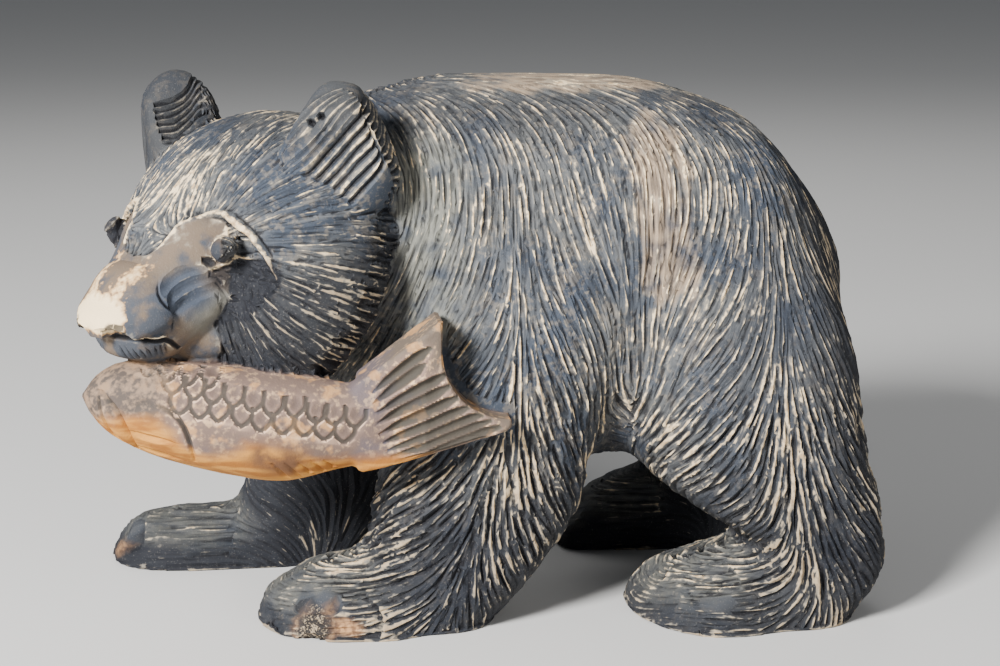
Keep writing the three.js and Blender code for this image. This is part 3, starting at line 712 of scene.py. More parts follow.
def comb(p, facing):
    """The way that the fur lies on the skin at points p that face a given way.

    On the body it is straight down, turned about the facing by the fanning times an angle that grows
    from nothing at the back to 75 degrees at the feet, and swept back at the spine. On paws it runs to
    the toes. On the head it runs away from the root of the nose and the eyes.
    """
    x, y, z = p.T
    paw_share = np.zeros_like(x)
    middle = np.zeros_like(x)
    for form in limbs.values():
        front = form["leg"](z)[0]
        side = y * form["side"] > 0
        fore = np.abs(x - front) < 45
        share = smooth(front - x, -4, 5) * smooth(-z, -26, -16) * side * fore * (x > form["toe"] - 4)
        middle = np.where(share > paw_share, form["side"] * form["paw"](x)[2], middle)
        paw_share = np.maximum(paw_share, share)
    middle = np.where(paw_share > 0.5, middle, 0)
    down = np.stack([np.zeros_like(x), 0.35 * np.tanh((y - middle) / 8), np.full_like(x, -1)], -1)
    level = unit(np.cross(facing, down)) * np.where(y < middle, 1, -1)[:, None]
    fall = np.cross(level, facing)
    fall *= np.sign(dot(fall, down))[:, None]
    at_feet, at_spine, on_paws = np.radians([75, 55, -92])
    angle = at_feet * np.clip((118 - z) / 98, 0, 1) ** 0.8 * fanning(x, y, z)
    angle += at_spine * np.exp(-np.maximum(136 - z, 0) / 11)
    angle += (on_paws - angle) * paw_share
    body = fall * np.cos(angle)[:, None] + level * np.sin(angle)[:, None]
    q = in_head(p)
    root = np.stack([np.full_like(x, 4.0), 14 * np.tanh(q[:, 1] / 8), np.full_like(x, 2.0)], -1)
    away = unit(q - root) @ head_axes
    on_head = smooth(lattice.read("torso", p) - lattice.read("skull", p), -1, 1)[:, None]
    way = body + (away - body) * on_head
    way -= dot(way, facing)[:, None] * facing
    return unit(way)


def trace(seeds, lengths, turns, step):
    """Paths of strokes: from each seed along the fur and against it, settled on the skin after each step.

    Returns each path's points, its directions, and how far along each point is, from -1 to 1.
    """
    halves = []
    steps = int(np.ceil(lengths.max() / 2 / step))
    for heading in (-1, 1):
        at = seeds.copy()
        path = []
        for k in range(steps + 1):
            facing = lattice.slope("carving", at)
            at = at - facing * lattice.read("carving", at)[:, None]
            way = comb(at, facing)
            way = way * np.cos(turns)[:, None] + np.cross(facing, way) * np.sin(turns)[:, None]
            path.append((at, way))
            at = at + heading * step * way
        halves.append(path)
    path = halves[0][:0:-1] + halves[1]
    middles = np.stack([at for at, _ in path], 1)
    ways = np.stack([way for _, way in path], 1)
    along = np.arange(-steps, steps + 1)[None, :] * step / (lengths[:, None] / 2)
    return middles, ways, along


# ---------------------------------------------------------------- areas of the skin
# Each area is a share at every vertex: 1 well inside the area and 0 well outside it.

gap = {
    name: lattice.read(name, points)
    for name in ("torso", "skull", "face", "left_ear", "right_ear", "fish", "fin")
}
x, y, z = points.T
in_skull = in_head(points)
before_eyes, beside_eyes, above_eyes = in_skull.T
furry_wood = np.minimum(gap["torso"], gap["skull"])
any_ear = np.minimum(gap["left_ear"], gap["right_ear"])
on_salmon = smooth(np.minimum(furry_wood, gap["face"]) - np.minimum(gap["fish"], gap["fin"]), -0.2, 0.6)
# The bare face begins in front of a line over the bridge and under the brow. Rows: distance from the
# middle of the face, distance of the line ahead of the eyes.
face_line = rails([(0, 12), (5.5, 10), (9, 2.6), (14.4, -3.2), (17.5, -4.5), (30, -4.9)])
on_face = smooth(furry_wood - gap["face"], -0.3, 0.3)
on_face *= smooth(before_eyes - face_line(np.abs(beside_eyes))[0], -0.3, 0.3)
on_ear = smooth(furry_wood - any_ear, -0.5, 1)
on_skull = smooth(gap["torso"] - gap["skull"], -1, 1)
on_sole = smooth(-z, -0.9, -0.3)
# Round the tail fin the shoulder is relieved, without fur.
ledge = (1 - on_salmon) * (1 - smooth(gap["fin"], 1.8, 2.6)) * (1 - on_skull)
furred = (1 - on_salmon) * (1 - on_face) * (1 - on_ear) * (1 - on_sole) * (1 - ledge)
# The cheek is rough behind its gouges, as far back as the step under the brow.
rasped = (1 - on_salmon) * on_skull * smooth(before_eyes - fur_front(beside_eyes, above_eyes), -0.9, -0.3)
rasped *= smooth(6 - before_eyes, 0, 2)
rasped *= smooth(-4 - above_eyes, 0, 1) * smooth(above_eyes + 0.5 * before_eyes + 16, 0, 2)
furred *= 1 - rasped
# The tips of the feet are pared in front of a slanting plane through each foot, and the cuts that cross
# them are fainter: how far the plane stands behind the toe, and how much it leans.
toe_planes = {
    "left_front": (17.7, 0.53), "left_hind": (9.8, 0.28), "right_front": (15, 0.4), "right_hind": (11, 0.3),
}
toe_caps = np.zeros(len(points))
for name, (behind_toe, lean) in toe_planes.items():
    form = limbs[name]
    past_plane = form["toe"] + behind_toe + lean * (17 - z) - x
    here = (z < 21) & (x > form["toe"] - 4) & (y * form["side"] > 0)
    toe_caps = np.maximum(toe_caps, smooth(past_plane, -0.3, 0.3) * here)
furred *= 1 - 0.45 * toe_caps


def near(p, a, b, radius_a, radius_b, soft):
    """1 well within the bar from a to b and 0 well outside it, with a soft edge."""
    return smooth(-bar(p, np.array(a, float), np.array(b, float), radius_a, radius_b), -soft, soft)


def spots(p, rows):
    """The strongest of some soft spots at points p. Rows: a strength, then what near asks for."""
    return np.maximum.reduce([strength * near(p, *row) for strength, *row in rows])


# Three flat facets, on the two left feet and on the right front one, which no cut crosses.
facets = spots(points, [
    (1, (-57, -39.8, 8.6), (-49.5, -43.3, 10.2), 2.6, 3.4, 0.4),
    (1, (45.5, -51.5, 8), (51, -52, 7.5), 2.4, 3.0, 0.4),
    (1, (-100.5, 27, 10), (-102, 21, 8), 3.6, 3.6, 0.4),
])
furred *= 1 - facets
# The top of the back is worn smooth; the far side, the belly and the insides of the legs are cut plainly.
worn_top = smooth(z, 133, 136.5) * smooth(x, -26, 4) * smooth(-x, -64, -40)
underneath = smooth(-normals[:, 2], 0.3, 0.8)
inner = smooth(-normals[:, 1] * np.sign(y), 0.2, 0.6) * smooth(-z, -78, -60)
plain = np.maximum(np.maximum(smooth(y, 4, 24), underneath), inner * (1 - on_skull))


def blank():
    """Nothing yet, at every vertex."""
    return np.zeros(len(points), np.float32)


rng = np.random.default_rng(7)
fine_cells = Cells(points, 1.7)
wide_cells = Cells(points, 3.2)
# How far each vertex has been cut down and how far it stands proud, in mm.
sunk = blank()
raised = blank()

# ---------------------------------------------------------------- cutting the fur
# A V-tool is pushed along the lie of the fur in thousands of short strokes, over and over, each time with
# a smaller tool and where the wood is still whole.


def thin_out(p, ways, aside, along):
    """The points that come first in their own neighbourhood, an ellipse of half sizes along and aside."""
    cells = Cells(p, along)
    rank = rng.permutation(len(p))
    beaten = np.zeros(len(p), bool)
    for one, other in cells.pairs(p):
        offset = cells.where[one] - p[other]
        run = dot(offset, ways[other])
        rest = (offset**2).sum(1) - run**2
        close = ((run / along) ** 2 + rest / aside[other] ** 2 < 1) & (rank[one] < rank[other])
        beaten[other[close]] = True
    return ~beaten


def cut_strokes(sunk, seeds, widths, depths, lengths, turns, power=3.0, steep=1.0, drift=None):
    """Cuts V-grooves along the fur through the seeds. With s = 1 - |t|^power, where t runs from -1 to 1
    along a groove, it is d s deep and w s^0.7 to either side, so both of its ends are points."""
    step = 0.9
    middles, ways, along = trace(seeds, lengths, turns, step)
    taper = np.clip(1 - np.abs(along) ** power, 0, 1)
    used = taper > 0.02
    taper = taper[used]
    which = np.broadcast_to(np.arange(len(seeds))[:, None], along.shape)[used]
    # A groove may reach no further aside than the size of the cells that its vertices are found by.
    cells = wide_cells if widths.max() > fine_cells.cell * min(steep, 1) else fine_cells
    groove(cells, sunk, middles[used], ways[used], widths[which] * taper**0.7, depths[which] * taper,
           reach=0.55 * step, steep=steep, drift=drift)


def cut_area(area, rounds, tool, pitch, spread_of_turns, power=3.0, steep=1.0):
    """Fills an area with strokes, in rounds: each starts where the wood is still whole, with a smaller tool
    each time, and thins out its own seeds so that they lie a pitch of so many half widths apart.

    The tool is its half width, depth and length of stroke at every vertex. The first rounds start only at
    the coarse net's vertices, and leave more room along the strokes.
    """
    still_whole = 0.06
    cut_depth = blank()
    drift = np.zeros((len(points), 3), np.float32)
    for number in range(rounds):
        early = number < rounds // 2
        whole = (cut_depth[:seed_count] < still_whole) & (area[:seed_count] > 0.5)
        if early:
            whole[coarse_count:] = False
        seeds = np.flatnonzero(whole)
        if len(seeds) == 0:
            continue
        width, depth, length = (size[seeds] for size in tool)
        less = 1 - 0.4 * number / rounds
        ways = comb(points[seeds], normals[seeds])
        clear = float(length.mean()) * (0.38 if early else 0.24)
        kept = thin_out(points[seeds], ways, pitch * width * less, clear)
        seeds, width, depth, length = seeds[kept], width[kept], depth[kept], length[kept]
        vary = rng.uniform(0.85, 1.15, (3, len(seeds)))
        lean = np.radians(rng.normal(0, spread_of_turns, len(seeds)))
        cut_strokes(cut_depth, points[seeds], width * vary[0] * less, depth * vary[0] * vary[1] * less,
                    length * vary[2], lean, power, steep, drift)
    return cut_depth, drift


rounds = 5
low = smooth(-z, -92, -45)
forehead = on_skull * smooth(above_eyes, 2, 12)
stroke = (23 - 8 * low) * (1 - 0.3 * on_skull) * (1 + 0.3 * plain)
# On the near side each cut has one steep wall and one wide, flat one; elsewhere it's an even V.
near_width = (0.52 + 0.1 * low) * (1 - 0.12 * on_skull - 0.1 * forehead)
near_depth = (0.86 + 0.3 * low) * (1 - 0.7 * worn_top) * (1 - 0.2 * forehead)
near_tool = (near_width, near_depth, stroke)
near_cut, drift = cut_area(furred * (plain < 0.5), rounds, near_tool, 3.5, 3.0, steep=0.37)
far_width = (1.7 + 0.3 * low) * (1 - 0.12 * on_skull)
far_tool = (far_width, 0.55 * far_width * (1 - 0.7 * worn_top), stroke)
far_cut, far_drift = cut_area(furred * (plain > 0.4), rounds, far_tool, 1.9, 3.0)
fur_cut = np.maximum(near_cut, far_cut)
drift = np.where((near_cut >= far_cut)[:, None], drift, far_drift)


def even_tool(width, depth, length):
    """A tool of one size for the whole skin."""
    return [np.full(len(points), size) for size in (width, depth, length)]


# The ruff's edge and the lower body have bigger locks as well.
ruff_lean = leant(before_eyes, above_eyes)[0]
shaggy = smooth(-z, -72, -50) * smooth(z, 6, 14) * (1 - 0.8 * plain)
shaggy = furred * np.maximum(shaggy, on_skull * smooth(-26.9 - ruff_lean, -1, 2))
lock_cut, _ = cut_area(shaggy, 2, even_tool(1.55, 0.95 * 1.55, 14.0), 2.1, 4.0, 2.0, 1.8)
rasp_cut, _ = cut_area(rasped, 3, even_tool(0.75, 0.75 * 0.9, 4.5), 1.9, 24.0)
sunk += (fur_cut * furred + 0.8 * lock_cut * shaggy + rasp_cut * rasped
         + 0.35 * ledge + 0.3 * toe_caps + 0.8 * facets)
# Vertices close to the bottom of a groove move on to it, which keeps the groove straight and sharp.
in_bottom = (np.linalg.norm(drift, axis=1) < 0.24 * grid_step / 1.6) & (furred > 0.5) & (fur_cut > 0.25)
drift[~in_bottom] = 0

# ---------------------------------------------------------------- streaks of wear and of thicker stain
# They lie along the fur as the cuts do, as strokes of paint: no seed is kept clear of another.


def streaked(area, count, narrowest, widest, longest, strengths):
    """Paints strokes along the fur at random places of an area, from 0 at their edges to their strength."""
    paint = blank()
    seeds = rng.choice(np.flatnonzero(area[:seed_count] > 0.5), count)
    width = rng.uniform(narrowest, widest, count)
    strength = rng.uniform(*strengths, count)
    length = rng.uniform(0.3, 1, count) * longest
    cut_strokes(paint, points[seeds], width, strength, length, np.radians(rng.normal(0, 2.0, count)))
    return paint


few = 1.0
streak = streaked(furred, int(5200 * few), 0.45, 0.95, 20.0, (0.5, 1.3))
tone = streaked(furred, int(4200 * few), 0.8, 1.6, 26.0, (0.2, 1.2))

# ---------------------------------------------------------------- face
# Lines are rows of a place ahead, left and up from the eyes, half a width and a depth. Every pass of a
# tool sinks or raises the skin, and some leave a line of black stain or of pale bare wood as well.


def both(lines):
    """The lines and their mirror images on the other cheek."""
    return [np.array(rows, float) * [1, side, 1, 1, 1] for rows in lines for side in (1, -1)]


def pressed(target, lines, roundness=0.0, steep=1.0, to_block=from_head):
    """Follows the lines with a tool over the skin: target becomes as deep as they are, where it is less."""
    groove(wide_cells, target, *drawn(lines, to_block), reach=0.3, roundness=roundness, steep=steep)


def as_paint(lines, wider=0.0):
    """The lines at full strength instead of their depths, each wider by so much on either side."""
    return [rows * [1, 1, 1, 1, 0] + [0, 0, 0, wider, 1] for rows in lines]


black = blank()
pale_wood_and_highlight = blank()

brows = both([
    [(2.6, 8.9, 6.9, 0.9, 0.4), (-3.2, 14.4, 7.5, 1.3, 0.7), (-4.5, 17.2, 6.4, 1.5, 0.9),
     (-4.9, 22.3, 2.3, 1.5, 0.9), (-5.3, 26.2, -2.1, 1.3, 0.7), (-4.4, 29.7, -9.1, 0.7, 0.3)],
    [(0.1, 8.7, 7.6, 0.5, 0.2), (3.5, 8.0, 5.8, 0.8, 0.4), (7, 7.1, 3.8, 0.8, 0.4), (9.9, 6, 2.1, 0.4, 0.1)],
])
pressed(raised, brows)
pressed(pale_wood_and_highlight, as_paint(brows, 0.2), 1.0)
# The cuts all but stop at the brows.
whole = 1 - 0.9 * np.minimum(raised / 0.5, 1)
sunk *= whole
drift *= whole[:, None]
behind_brows = both([[(-6.0, 17.5, 7.0, 0.5, 0.4), (-6.6, 23, 2.8, 0.8, 0.9), (-6.8, 27, -2.6, 0.7, 0.8),
                      (-6.0, 30, -8, 0.4, 0.3)]])
pressed(sunk, behind_brows)

eye_hollows = both([[(0.9, 21, 0.3, 3.2, 0.8), (-0.2, 21, -0.6, 3.2, 0.8)]])
pressed(sunk, eye_hollows, 1.0)
upper_lids = both([[(3.0, 17.5, 1.8, 0.4, 0.4), (0.6, 18.2, 3.5, 0.7, 1.0), (-2.2, 19, 2.8, 0.8, 1.1),
                    (-4.6, 20.5, -0.2, 0.5, 0.5)]])
pressed(sunk, upper_lids, steep=1.8)
pressed(black, as_paint(upper_lids, -0.2))
lower_lids = both([[(4.7, 16, -4, 0.5, 0.2), (2.6, 17, -4.1, 0.8, 0.5), (0.4, 18.5, -3.9, 0.8, 0.5),
                    (-2.2, 20.3, -3.6, 0.6, 0.2)]])
pressed(raised, lower_lids, 1.0)
pressed(pale_wood_and_highlight, as_paint(lower_lids), 1.0)
inner_corners = both([[(4.4, 15.8, -1.6, 0.9, 0.6), (3.2, 16.5, -2.6, 1.2, 0.8),
                       (3.0, 16.6, -3.4, 0.7, 0.4)]])
for target in (sunk, black):
    pressed(target, inner_corners, 1.0)

# The right eye is a knob with a hole: its socket is filled up round the sunken ball.
full_turn = np.linspace(0, 2 * np.pi, 13)
pressed(raised, [[(0.2 + 4.4 * np.cos(t), -20.6, -0.2 + 4.4 * np.sin(t), 2.2, 0.9) for t in full_turn]], 1.0)
pressed(sunk, [[(0.6, -22.6, 3.0, 4.0, 1.6), (0.2, -22.8, -3.0, 4.0, 1.6)]], 1.0)
hole = [[(0.4, -18.0, 3.6, 0.5, 0.5), (1.2, -17.8, 1.8, 1.1, 1.4), (2.6, -17.4, -0.6, 0.6, 0.6)]]
for target in (sunk, black):
    pressed(target, hole, 1.0)

cheek_gouges = both([
    [(15.8, 12.1, -5.4, 0.8, 0.3), (12.8, 11.9, -3.9, 1.7, 0.7), (9, 13, -2.9, 1.7, 0.7),
     (4, 16, -4.2, 1.0, 0.2)],
    [(15.4, 12.6, -8.0, 0.8, 0.3), (12.2, 13, -6.5, 1.7, 0.8), (7, 15, -5.9, 1.7, 0.7),
     (1, 18.5, -7, 1.0, 0.2)],
    [(14.6, 13.1, -10.8, 0.8, 0.3), (11.6, 13.8, -9.3, 1.6, 0.7), (6.6, 15.8, -8.7, 1.6, 0.6),
     (1, 18.8, -10, 1.0, 0.2)],
])
pressed(sunk, cheek_gouges, 1.0)
pad_edges = both([[(14.5, 10.4, -2.5, 0.5, 0.2), (16.2, 11.6, -5, 0.9, 0.6), (16.6, 12.2, -8.5, 1.0, 0.8),
                   (15.6, 12.4, -12, 0.9, 0.6), (16.2, 12, -14.8, 0.6, 0.3)]])
pressed(sunk, pad_edges, steep=2.0)

mouth_lines = both([[(26.4, 0, -12.4, 0.9, 0.9), (25.6, 4.4, -13.2, 1.0, 1.1), (23.4, 8.6, -13.8, 1.0, 1.2),
                     (20.2, 10.6, -15.6, 0.9, 1.1), (17.6, 11, -16.6, 0.9, 0.9), (14.6, 10, -20, 0.8, 0.7)]])
pressed(sunk, mouth_lines)
pressed(black, as_paint(mouth_lines, -0.1), 1.0)
lips = both([[(29.2, 1.2, -9.3, 0.4, 0.3), (28.6, 4.6, -8.7, 0.6, 0.5), (27.0, 8, -9.9, 0.6, 0.5),
              (24.8, 9.6, -12.2, 0.6, 0.5), (21.1, 10.9, -14.4, 0.6, 0.4), (18, 11.6, -15.0, 0.5, 0.3)]])
pressed(raised, lips, 1.0)
pressed(pale_wood_and_highlight, as_paint(lips, 0.1), 1.0)
nostril_wedges = both([[(28.6, 3.0, -9.9, 0.5, 0.4), (27.2, 6.0, -10.8, 1.2, 1.4),
                        (25.8, 8.6, -12.4, 1.0, 1.2), (24.2, 10.0, -13.6, 0.5, 0.4)]])
pressed(sunk, nostril_wedges)
pressed(black, [rows * [1, 1, 1, 1.2, 1] for rows in nostril_wedges], 1.0)
jaw_cuts = both([
    [(24.6 - 0.9 * k, 3.2 + 1.35 * k - 0.06 * k * k, -15.2 - 0.12 * k, 0.3, 0.1),
     (24.4 - 0.9 * k, 3.4 + 1.35 * k - 0.06 * k * k, -17.5, 0.55, 0.5),
     (23.8 - 0.9 * k, 3.0 + 1.3 * k - 0.06 * k * k, -20.5, 0.3, 0.1)] for k in range(8)
])
pressed(sunk, jaw_cuts)

# ---------------------------------------------------------------- knife flats on the feet
# The sides of the feet are pared with a knife in flat facets.


def pared(places, depth, reach):
    """How far each vertex lies above the flats that a knife leaves at the places, measured along its own
    normal. Each flat is level with the skin at its place and lies a depth under it."""
    above_flats = np.zeros(len(points))
    middles = on_skin(np.array(places, float))
    for flat, facing in zip(middles, lattice.slope("carving", middles)):
        slant = np.maximum(normals @ facing, 0.35)
        above = ((points - flat) @ facing + depth) / slant
        here = (np.linalg.norm(points - flat, axis=1) < reach) & (normals @ facing > 0.35)
        above_flats = np.where(here, np.maximum(above_flats, above), above_flats)
    return above_flats


flats = pared([
    (-57, -40, 8), (-65, -35, 4), (-48.5, -44.3, 9), (-45.2, -46.5, 4.5), (33, -31, 10), (35, -42, 7),
    (46.5, -48, 10), (44.5, -51.5, 4), (-101, 21, 9), (-103, 31, 6), (-100, 40, 8), (24, 27, 9), (25, 36, 7),
], 1.3, 9.0)
sunk += flats * (1 - on_salmon) * (1 - 0.8 * furred * on_skull)

# ---------------------------------------------------------------- ears
# The near ear's face is cut on the slant, finely at its top and deeply at its foot, and the far one's more
# upright. Round the back of both run level cuts.


def from_ear(q, side):
    """The point that lies at a depth, breadth and height in an ear's own axes."""
    a, l, u = (q @ ear_axes + ear_places[side]).T
    return from_head(np.stack([a, l * side, u], -1))


for side, name, slant, boldness in ((1, "left_ear", 0.72, 1), (-1, "right_ear", 0.2, 0.4)):
    def from_this_ear(q):
        """The point that lies at a depth, breadth and height in this ear."""
        return from_ear(q, side)

    this_ear = smooth(furry_wood - gap[name], -0.8, 0.4) * (beside_eyes * side > 0)
    front = this_ear * smooth(normals @ ((ear_aim * [1, side, 1]) @ head_axes), 0.3, 0.5)
    sideways = np.array([np.sqrt(1 - slant**2), -slant])
    upward = np.array([slant, np.sqrt(1 - slant**2)])
    fine, deep = [], []
    for k in range(-7, 5):
        away = 1.75 * k + 0.2 * np.sin(3 * k) + 0.6 * max(k + 1, 0)
        half, high = (0.5, 0.45) if k < -1 else (1.2, 1.15)
        start, end = (sideways * away + upward * reach for reach in (-15.0, 19.0))
        line = [(-1, *(start + (end - start) * t), half, high) for t in (0, 0.5, 1)]
        (fine if k < -1 else deep).append(line)
    around = np.linspace(0, np.pi, 9)
    bands = [
        [(-2 - 11 * np.sin(t), 15 * np.cos(t), level, 1.1, 1.1) for t in around]
        for level in np.arange(-13, 17, 2.2)
    ]
    fine_ridge, deep_cut, band_cut = blank(), blank(), blank()
    pressed(fine_ridge, fine, to_block=from_this_ear)
    pressed(deep_cut, deep, steep=1.5, to_block=from_this_ear)
    pressed(band_cut, bands, steep=1.6, to_block=from_this_ear)
    raised += (fine_ridge * front * boldness).astype(np.float32)
    pale_wood_and_highlight = np.maximum(pale_wood_and_highlight, 1.3 * fine_ridge * front * boldness).astype(np.float32)
    sunk += (deep_cut * front * boldness).astype(np.float32)
    sunk += (band_cut * this_ear * (1 - front)).astype(np.float32)

# ---------------------------------------------------------------- salmon
# Rows of a place along and up from the snout and a side, half a width and a depth. The scales are pressed
# in with a round gouge, and each ends below in the gouge's curved edge.


def from_salmon(q):
    """The point of the salmon's flank at a distance along and above its snout, on its left (1) or right."""
    t, height, side = q.T
    top, belly, half_thickness = fish_rails(t)
    share = np.abs(height - (top + belly) / 2) / ((top - belly) / 2)
    out = side * half_thickness * np.clip(1 - share**2.1, 0.02, 1) ** (1 / 2.1)
    return snout + np.stack([t, height, out], -1) @ fish_axes


def on_both_flanks(lines):
    """Lines of a place along and up, a half width and a depth, laid on the salmon's left and right."""
    return [np.insert(np.array(rows, float), 2, side, axis=1) for rows in lines for side in (1, -1)]


def dished(target, middles, widths, depths):
    """Presses a round gouge into the skin at each place, without moving it along."""
    no_way = np.zeros_like(middles)
    groove(wide_cells, target, middles, no_way, widths, depths, reach=9.0, roundness=1.0)


# Rows of scales: where the first one and the last one are, how high the row is and how fast it falls.
scale_rows = []
for first, last, top_line, fall in ((16, 34, 10.0, 0.03), (22.3, 68, 7.3, 0.1), (24.6, 68, 3.9, 0.13)):
    stations = np.arange(first, last, 4.9)
    scale_rows.append(np.stack([stations, top_line - fall * (stations - 22), np.ones(len(stations))], -1))
scales = np.concatenate(scale_rows + [rows * [1, 1, -1] for rows in scale_rows])
scales[:, :2] += rng.normal(0, 0.25, (len(scales), 2))
scale_cut = blank()
scale_widths = rng.uniform(2.2, 2.5, len(scales))
scale_depths = rng.uniform(0.35, 0.6, len(scales))
dished(scale_cut, on_skin(from_salmon(scales)), scale_widths, scale_depths)
bow = np.array([(-2.3, 1.7), (-2.2, -0.6), (0, -2.6), (2.2, -0.6), (2.3, 1.7)])
bow = np.pad(bow, ((0, 0), (0, 3))) + [0, 0, 0, 0.8, 0.45]
bows = bow + np.pad(scales, ((0, 0), (0, 2)))[:, None]
hollow = blank()
pressed(hollow, bows, 1.0, to_block=from_salmon)
scale_cut += hollow
# A pale line just under each scale's curved edge is a painted highlight, where light catches its lower wall.
scale_rim_highlights = blank()
pressed(scale_rim_highlights, bows * [1, 1, 1, 0, 0] + [0, -0.7, 0, 0.6, 1], to_block=from_salmon)
pale_wood_and_highlight = np.maximum(pale_wood_and_highlight, 0.9 * scale_rim_highlights * on_salmon * (hollow < 0.25)).astype(np.float32)
sunk += scale_cut * on_salmon

salmon_lines = [
    [(18, 2, 0.7, 0.4), (23.3, 0.3, 0.9, 0.8), (26.1, -2.7, 0.9, 0.9), (27.7, -6.9, 0.9, 0.8),
     (28.8, -11.6, 0.6, 0.3)],
    [(4.4, 3, 0.5, 0.4), (5.6, -2, 0.8, 1.0), (8.6, -7.6, 0.9, 1.1), (14, -11, 0.6, 0.4)],
    [(5.2, 3.2, 0.5, 0.4), (9.2, -0.5, 0.8, 1.0), (12, -5.5, 0.9, 1.1), (14.4, -10.8, 0.6, 0.4)],
    [(2, 0.1, 0.5, 0.3), (3.4, -4, 0.6, 0.5), (6.4, -7.8, 0.6, 0.5), (11, -10.5, 0.4, 0.2)],
    [(13.6, -5.6, 0.6, 0.4), (17, -6.6, 1.3, 1.1), (21, -6.9, 1.1, 0.9), (24.3, -7.2, 0.4, 0.2)],
    [(15, -9.8, 0.6, 0.4), (18.5, -10.6, 1.3, 1.1), (22, -11.2, 1.1, 0.9), (25.2, -11.7, 0.4, 0.2)],
]
anal_fin = [
    [(47.2 + 3 * k, -10.2 + 0.3 * k, 0.5, 0.3), (49.4 + 3 * k, -12.6 + 0.4 * k, 0.8, 0.7),
     (51.2 + 3 * k, -14.6 + 0.4 * k, 0.5, 0.3)] for k in range(5)
]
salmon_cuts = on_both_flanks(salmon_lines + anal_fin)
for target in (sunk, hollow):
    pressed(target, salmon_cuts, to_block=from_salmon)
jaw_ridge = [[(5, 2.4, 0.5, 0.2), (7.6, -2.8, 1.5, 0.7), (10, -6.6, 1.5, 0.7), (14, -10.6, 0.5, 0.2)]]
pressed(raised, on_both_flanks(jaw_ridge), 1.0, to_block=from_salmon)
eye_dish = [[(12.6, 0.2, 0.9, 0.2), (15.6, 1.6, 1.4, 0.5), (19, 1.8, 1.0, 0.3)]]
pressed(sunk, on_both_flanks(eye_dish), 1.0, to_block=from_salmon)

# The tail fin's rays, cut with a round gouge from root to edge. Rows: x and z of the root and of the edge.
ray_ends = [((-38.6, 67.6), (-25, 78)), ((-38.2, 65), (-26.2, 74.2)), ((-37.8, 62.4), (-21.2, 71.4)),
            ((-38.1, 59.8), (-20.4, 68.4)), ((-37.4, 57.2), (-18.2, 65.6)), ((-36.7, 54.8), (-15.4, 63)),
            ((-35.2, 52.9), (-11.8, 61.2)), ((-34.2, 51.3), (-10, 59.2)), ((-33.2, 49.9), (-7.8, 57.6))]
# Shares of the root and of the edge, half width and depth along a ray.
ray_form = ((1, 0, 0.5, 0.3), (0.7, 0.3, 1.5, 1.1), (0.2, 0.8, 1.9, 1.3), (0, 1, 0.8, 0.4))
tail_rays = [
    [(r * root[0] + e * edge[0], -57, r * root[1] + e * edge[1], half_width, depth)
     for r, e, half_width, depth in ray_form]
    for root, edge in ray_ends
]
ray_cut = blank()
pressed(ray_cut, tail_rays, 1.0, 1.25, lambda p: p)
sunk += ray_cut
hollow = np.maximum(hollow, 0.7 * np.minimum(ray_cut, 1))

# ---------------------------------------------------------------- chips and a crack
# Two pits in the near ear, a scooped chip in the near front foot, small ones in two other feet, pale nicks
# on the near front toes, and a fine crack along the back, across the cuts of the fur.

pits = from_ear(np.array([(0, -3.6, 9.2), (0.2, -1.3, 10.8)]), 1)
chips = np.array([(-54.3, -43.8, 3.4), (33.5, -42, 4), (38.5, -48.5, 3), (-104, 29, 3.2), (-98, 44, 4)])
for target, places, half_width, depth in ((sunk, pits, 1.1, 1.5), (black, pits, 1.1, 1),
                                          (sunk, chips[:1], 4.8, 2.0), (sunk, chips[1:], 2.4, 0.8)):
    dished(target, on_skin(places), np.full(len(places), half_width), np.full(len(places), depth))
toe_nicks = [[(-66.2, -32, 2.5, 0.7, 0.7), (-63.5, -34, 6.5, 1.1, 0.9), (-61.5, -35.4, 9, 0.5, 0.6)],
             [(-64.6, -35.4, 2, 0.7, 0.7), (-62, -37, 5, 1.0, 0.9), (-60, -38, 8, 0.5, 0.6)],
             [(-62.4, -38.4, 1.5, 0.6, 0.7), (-60.4, -39.6, 4, 0.9, 0.8), (-59, -40, 6, 0.5, 0.5)]]
pressed(pale_wood_and_highlight, toe_nicks, to_block=lambda p: p)
crack = [[(29.2, -33.7, 123.4, 0.45, 0.3), (37, -33.5, 122.9, 0.5, 0.45), (45, -33, 123.2, 0.5, 0.4),
          (53.1, -30.6, 122.6, 0.4, 0.2)]]
pressed(sunk, crack, to_block=lambda p: p)

# ---------------------------------------------------------------- where stain, wear, dust and painted shade lie
# Shares at every vertex, from 0 to 1 or a little more, which the wood's material reads as attributes of
# the mesh. Crest is how far a vertex stands above the mean of the cuts round it, against a shallow cut.


def strongest(*shares):
    """The greatest of some shares at each vertex."""
    return np.maximum.reduce(shares)


on_any_ear = smooth(furry_wood - any_ear, -0.8, 0.4)
near_ear = on_any_ear * (beside_eyes > 0)
streak = strongest(streak, 0.4 * near_ear, 0.5 * toe_caps)
cut_around = spread(sunk - raised, 7)
crest = (cut_around - sunk + raised) / 0.2
cut_around = spread(cut_around, 24)
crest += on_salmon * ((cut_around - sunk + raised) / 0.35 - crest)

